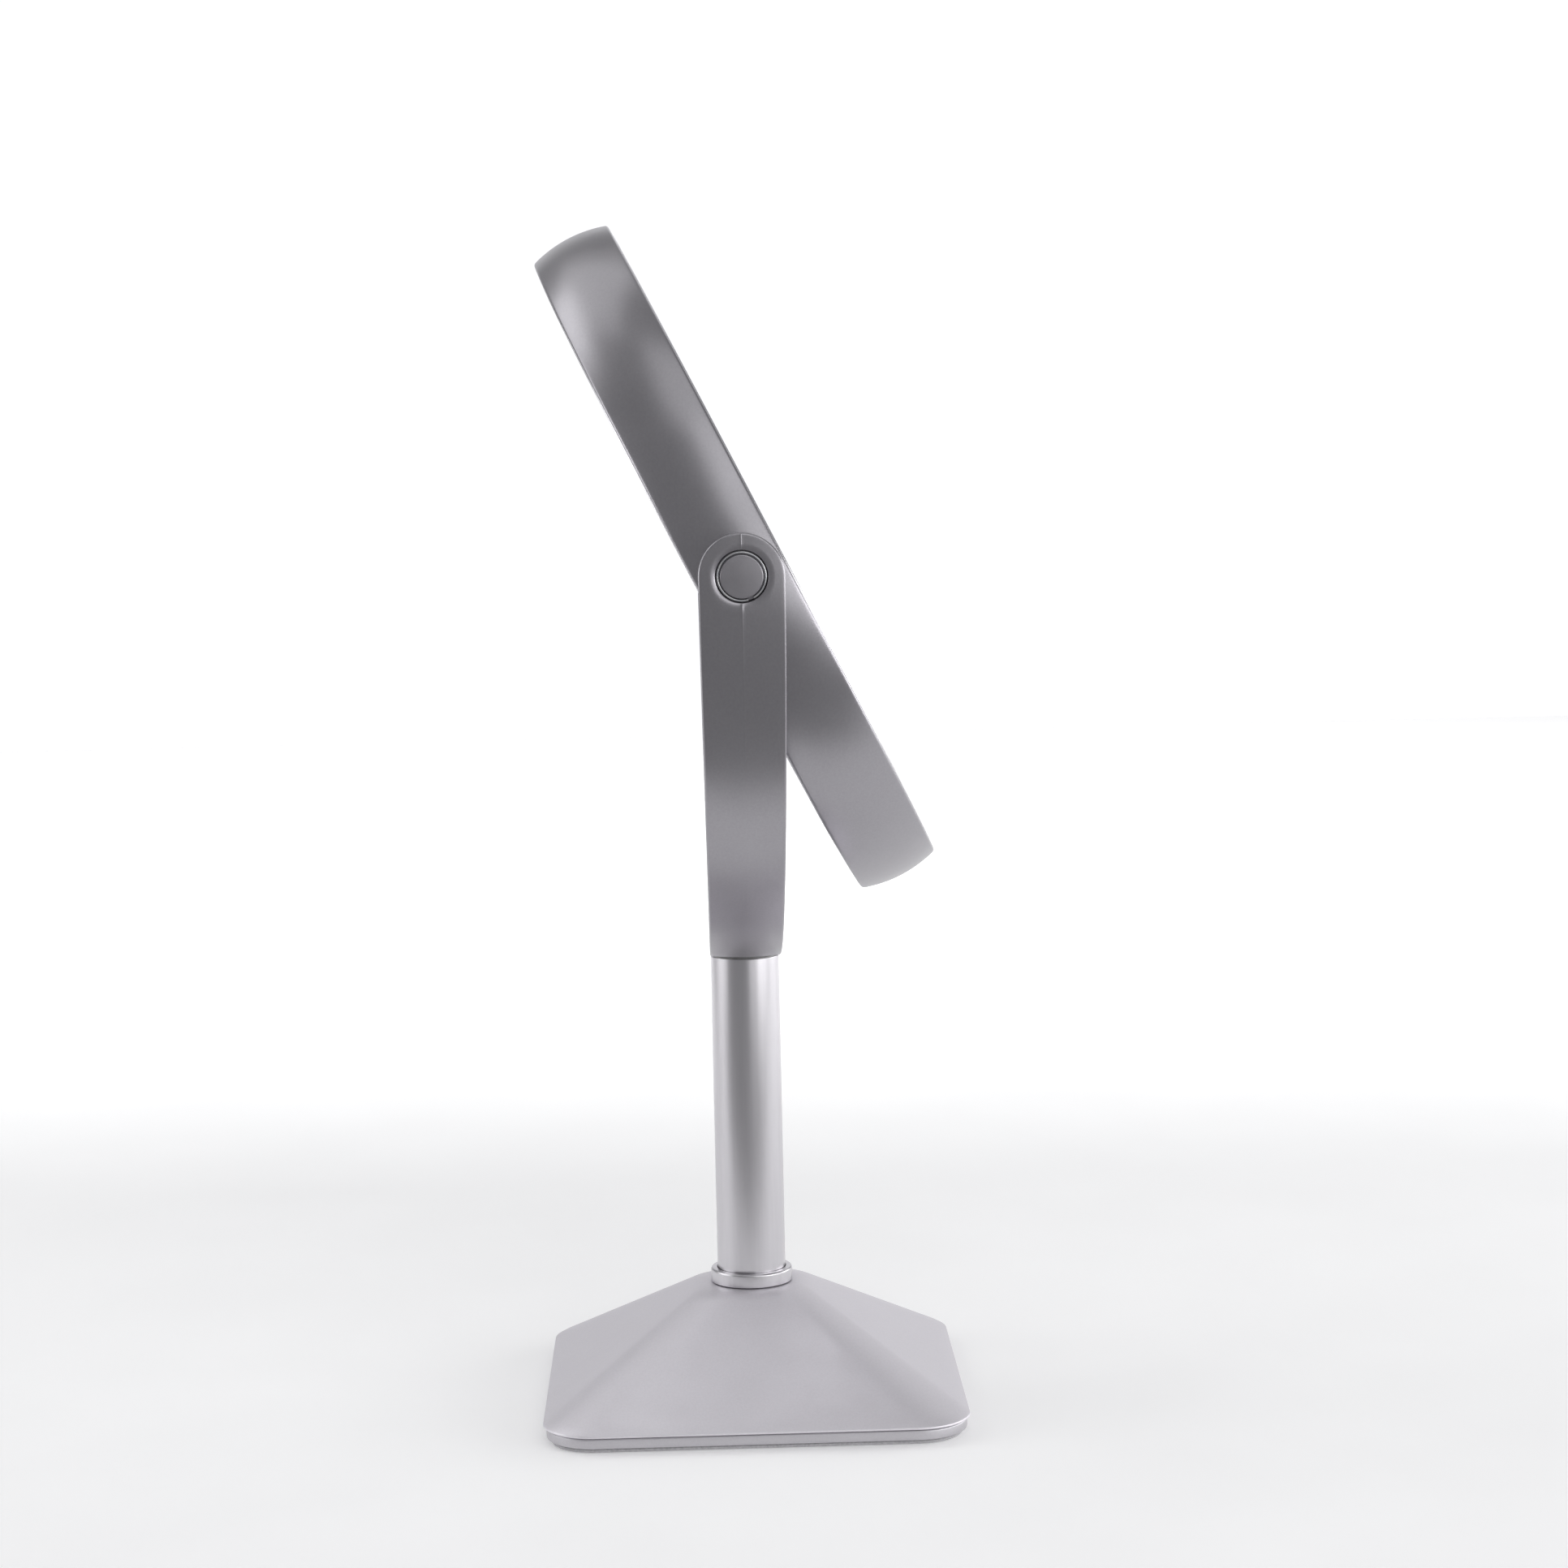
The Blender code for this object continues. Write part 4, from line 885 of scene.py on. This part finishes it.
silvered = new_finish("silvered_glass", 1.0, (0.90, 0.91, 0.915), 0.015)
uneven_colour(silvered, (0.895, 0.905, 0.91), (0.91, 0.92, 0.925), 0.03)
uneven_gloss(silvered, 0.008, 0.022, 0.02)
silvered_coat = silvered.node_tree.nodes["Principled BSDF"].inputs
silvered_coat["Coat Weight"].default_value = 0.3
silvered_coat["Coat Roughness"].default_value = 0.01

plain_section = soft([
    (0.0, glass_back, 0.0),
    (glass_radius, glass_back, SOFT),
    (glass_radius, glass_front, 0.0004),
    (0.0, glass_front, 0.0),
])
plain_mesh = turned("glass_plain", plain_section, head_place, LARGE)
new_piece("glass_plain", plain_mesh, silvered, "head", "plain_mirror")

radii = [glass_radius * step / HOLLOW_STEPS for step in range(HOLLOW_STEPS + 1)]
hollow = {radius: magnifier_hollow * (1 - (radius / glass_radius) ** 2) for radius in radii}
magnifier_section = [(radius, hollow[radius] - glass_back) for radius in radii]
magnifier_section += [(radius, hollow[radius] - glass_front) for radius in reversed(radii)]
magnifier_mesh = turned("glass_magnifying", magnifier_section, head_place, LARGE)
new_piece("glass_magnifying", magnifier_mesh, silvered, "head", "magnifying_mirror")

# ------------------------------------------------------------------ bezels
# A bright plated ring snaps into each face of the rim, laps over the edge of the glass and stands
# a little proud.

bezel_proud = 0.0003
bezel_outer = rim_bore - GAP
bezel_inner = bezel_outer - 0.0052
bezel_skirt = bezel_outer - 0.0018
bezel_top = rim_half + bezel_proud
bezel_lip = 0.00075
bezel_foot = glass_back - 0.0008

plated = new_finish("plated_plastic", 1.0, (0.82, 0.81, 0.835), 0.16)
uneven_colour(plated, (0.80, 0.79, 0.815), (0.85, 0.84, 0.865), 0.006)
uneven_gloss(plated, 0.12, 0.21, 0.004)
grain(plated, 0.0006, 0.000002)
for name, node, facing in (("bezel_front", "front_bezel", 1), ("bezel_rear", "rear_bezel", -1)):
    bezel_section = soft([
        (bezel_skirt, facing * (bezel_top - bezel_lip), 0.0),
        (bezel_inner, facing * (bezel_top - bezel_lip), FINE),
        (bezel_inner, facing * bezel_top, 0.0005),
        (bezel_outer, facing * bezel_top, 0.0006),
        (bezel_outer, facing * bezel_foot, SOFT),
        (bezel_skirt, facing * bezel_foot, SOFT),
    ], 6)
    bezel_mesh = turned(name, bezel_section, head_place, LARGE)
    new_piece(name, bezel_mesh, plated, "head", node)

# ------------------------------------------------------------------ pivot washers
# Between each hub and the yoke lie a spring washer, which turns with the head, and a nylon one, which
# the tilt's friction comes from.

washer_bore = 0.0032
for side in ("left", "right"):
    for kind, made, body, slot in (
        ("spring_washer", zinc, "head", "zinc_steel"),
        ("friction_washer", nylon, "mast", "white_nylon"),
    ):
        low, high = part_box(f"{kind}_{side}")
        near, far = sorted((abs(low.x), abs(high.x)))
        washer_edge = high.z - pivot.z
        washer_section = soft([
            (washer_bore, near, 0.0),
            (washer_edge, near, FINE),
            (washer_edge, far, FINE),
            (washer_bore, far, 0.0),
        ])
        washer_mesh = turned(f"{kind}_ring_{side}", washer_section, pivot_places[side], HUB_FACETS)
        new_piece(f"{kind}_ring_{side}", washer_mesh, made, body, f"{kind}_{side}")

# ------------------------------------------------------------------ pivot caps and split rings
# A satin cap covers each pivot screw's head, flush with the yoke, and a split steel ring in the groove
# round it holds it in.

cap_low, cap_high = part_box("pivot_cap_right")
cap_radius = cap_high.z - pivot.z
cap_sunk = 0.00022
cap_top = cap_high.x - cap_sunk
cap_wall = 0.0005
cap_edge = 0.00028
clip_low, clip_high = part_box("pivot_clip_right")
clip_middle = (clip_low.x + clip_high.x) / 2
clip_radius = 0.0061
clip_half = 0.00032
clip_gap = radians(14)
clip_gap_at = radians(202)  # round from the top, towards +Y
CLIP_STEPS = 72
WIRE_FACETS = 12

cap_silver = new_finish("satin_silver_cap", 0.90, (0.40, 0.389, 0.415), 0.33)
uneven_colour(cap_silver, (0.39, 0.379, 0.405), (0.41, 0.399, 0.425), 0.0005)
uneven_gloss(cap_silver, 0.31, 0.38, 0.004)
grain(cap_silver, 0.00025, 0.000005)
cap_section = soft([
    (0.0, cap_top - cap_wall, 0.0),
    (cap_radius - cap_wall, cap_top - cap_wall, 0.0),
    (cap_radius - cap_wall, cap_low.x, 0.0),
    (cap_radius, cap_low.x, 0.0001),
    (cap_radius, cap_top, cap_edge),
    (0.0, cap_top, 0.0),
])
for side in ("left", "right"):
    cap_mesh = turned(f"cap_{side}", cap_section, pivot_places[side], HUB_FACETS)
    new_piece(f"cap_{side}", cap_mesh, cap_silver, "mast", f"pivot_cap_{side}")
    loops = []
    for step in range(CLIP_STEPS + 1):
        turn = clip_gap_at + clip_gap / 2 + (2 * pi - clip_gap) * step / CLIP_STEPS
        loop = []
        for corner in range(WIRE_FACETS):
            around = 2 * pi * corner / WIRE_FACETS
            reach = clip_radius + clip_half * cos(around)
            loop.append((reach * cos(turn), reach * sin(turn), clip_middle + clip_half * sin(around)))
        loops.append(loop)
    clip_mesh = capped(f"split_ring_{side}", loops)
    clip_mesh.transform(pivot_places[side])
    new_piece(f"split_ring_{side}", clip_mesh, zinc, "mast", f"pivot_clip_{side}", 50)

# ------------------------------------------------------------------ floor and light
# A plain pale sheet, faintly lit from below, lies under the mirror and runs far back. Soft lights
# stand round it, low on both sides and higher behind on the left, and it stays dark in front. One
# more light whitens the sheet's far end.

floor_front, floor_back, floor_half = -0.19, 2.1, 1.6
floor_level = -0.0002
floor_shape = bmesh.new()
corners = [
    (floor_front, -floor_half), (floor_back, -floor_half), (floor_back, floor_half), (floor_front, floor_half)
]
floor_shape.faces.new([floor_shape.verts.new((x, y, floor_level)) for x, y in corners])
floor = bpy.data.objects.new("floor", mesh_of(floor_shape, "floor"))
bpy.context.scene.collection.objects.link(floor)
paper = new_finish("pale_paper", 0.0, (0.93, 0.93, 0.93), 0.85)
uneven_colour(paper, (0.92, 0.92, 0.92), (0.94, 0.94, 0.94), 0.05)
uneven_gloss(paper, 0.82, 0.88, 0.05)
pale = (0.98, 0.98, 1.0, 1.0)
paper_light = paper.node_tree.nodes["Principled BSDF"].inputs
paper_light["Emission Color"].default_value = pale
paper_light["Emission Strength"].default_value = 0.2
give(floor, paper)

light_reach = 1.45
light_centre = Vector((0.0, 0.0, 0.17))


def soft_light(name, azimuth, elevation, size, power):
    """A soft light that faces the mirror's middle. Azimuth is in degrees from +X towards +Y."""
    lamp = bpy.data.lights.new(name, "AREA")
    lamp.shape = "RECTANGLE"
    lamp.size, lamp.size_y = size
    lamp.energy = power
    level, up = radians(azimuth), radians(elevation)
    away = Vector((cos(up) * cos(level), cos(up) * sin(level), sin(up)))
    made = bpy.data.objects.new(name, lamp)
    made.location = light_centre + light_reach * away
    made.rotation_euler = away.to_track_quat("Z", "Y").to_euler()
    bpy.context.scene.collection.objects.link(made)
    return made


soft_light("low_left", 96, 8, (1.1, 0.55), 4.0)
soft_light("low_front", 204, 8, (0.55, 0.55), 1.3)
soft_light("low_right", 240, 8, (1.1, 0.55), 6.2)
soft_light("low_right_back", 290, 8, (1.1, 0.55), 6.4)
soft_light("left_back", 74, 36, (0.9, 0.8), 3.0)
soft_light("front", 200, 36, (0.8, 0.8), 2.0)
soft_light("right_back", 335, 36, (0.9, 0.8), 1.3)
soft_light("top_left", 55, 58, (1.0, 0.8), 1.7)
soft_light("top_front", 180, 64, (0.8, 0.8), 1.15)
soft_light("top_back", 345, 64, (1.0, 0.8), 0.4)
far_light = soft_light("far_end", 0, 60, (2.4, 0.5), 36.0)
far_light.location = (0.85, 0.0, 1.2)
far_light.rotation_euler = Vector((-0.9, 0.0, 0.43)).to_track_quat("Z", "Y").to_euler()

# The air round it is grey, and brightens to white straight behind the mirror.
world = bpy.data.worlds.new("studio")
bpy.context.scene.world = world
world.use_nodes = True
sky = world.node_tree.nodes
direction = sky.new("ShaderNodeTexCoord")
along = sky.new("ShaderNodeSeparateXYZ")
brighten = sky.new("ShaderNodeMapRange")
brighten.interpolation_type = "SMOOTHSTEP"
brighten.inputs["From Min"].default_value = 0.86
brighten.inputs["From Max"].default_value = 0.96
brighten.inputs["To Min"].default_value = 0.28
brighten.inputs["To Max"].default_value = 1.05
world.node_tree.links.new(direction.outputs["Generated"], along.inputs["Vector"])
world.node_tree.links.new(along.outputs["X"], brighten.inputs["Value"])
world.node_tree.links.new(brighten.outputs["Result"], sky["Background"].inputs["Strength"])
sky["Background"].inputs["Color"].default_value = pale
bpy.context.scene.view_settings.view_transform = "Standard"
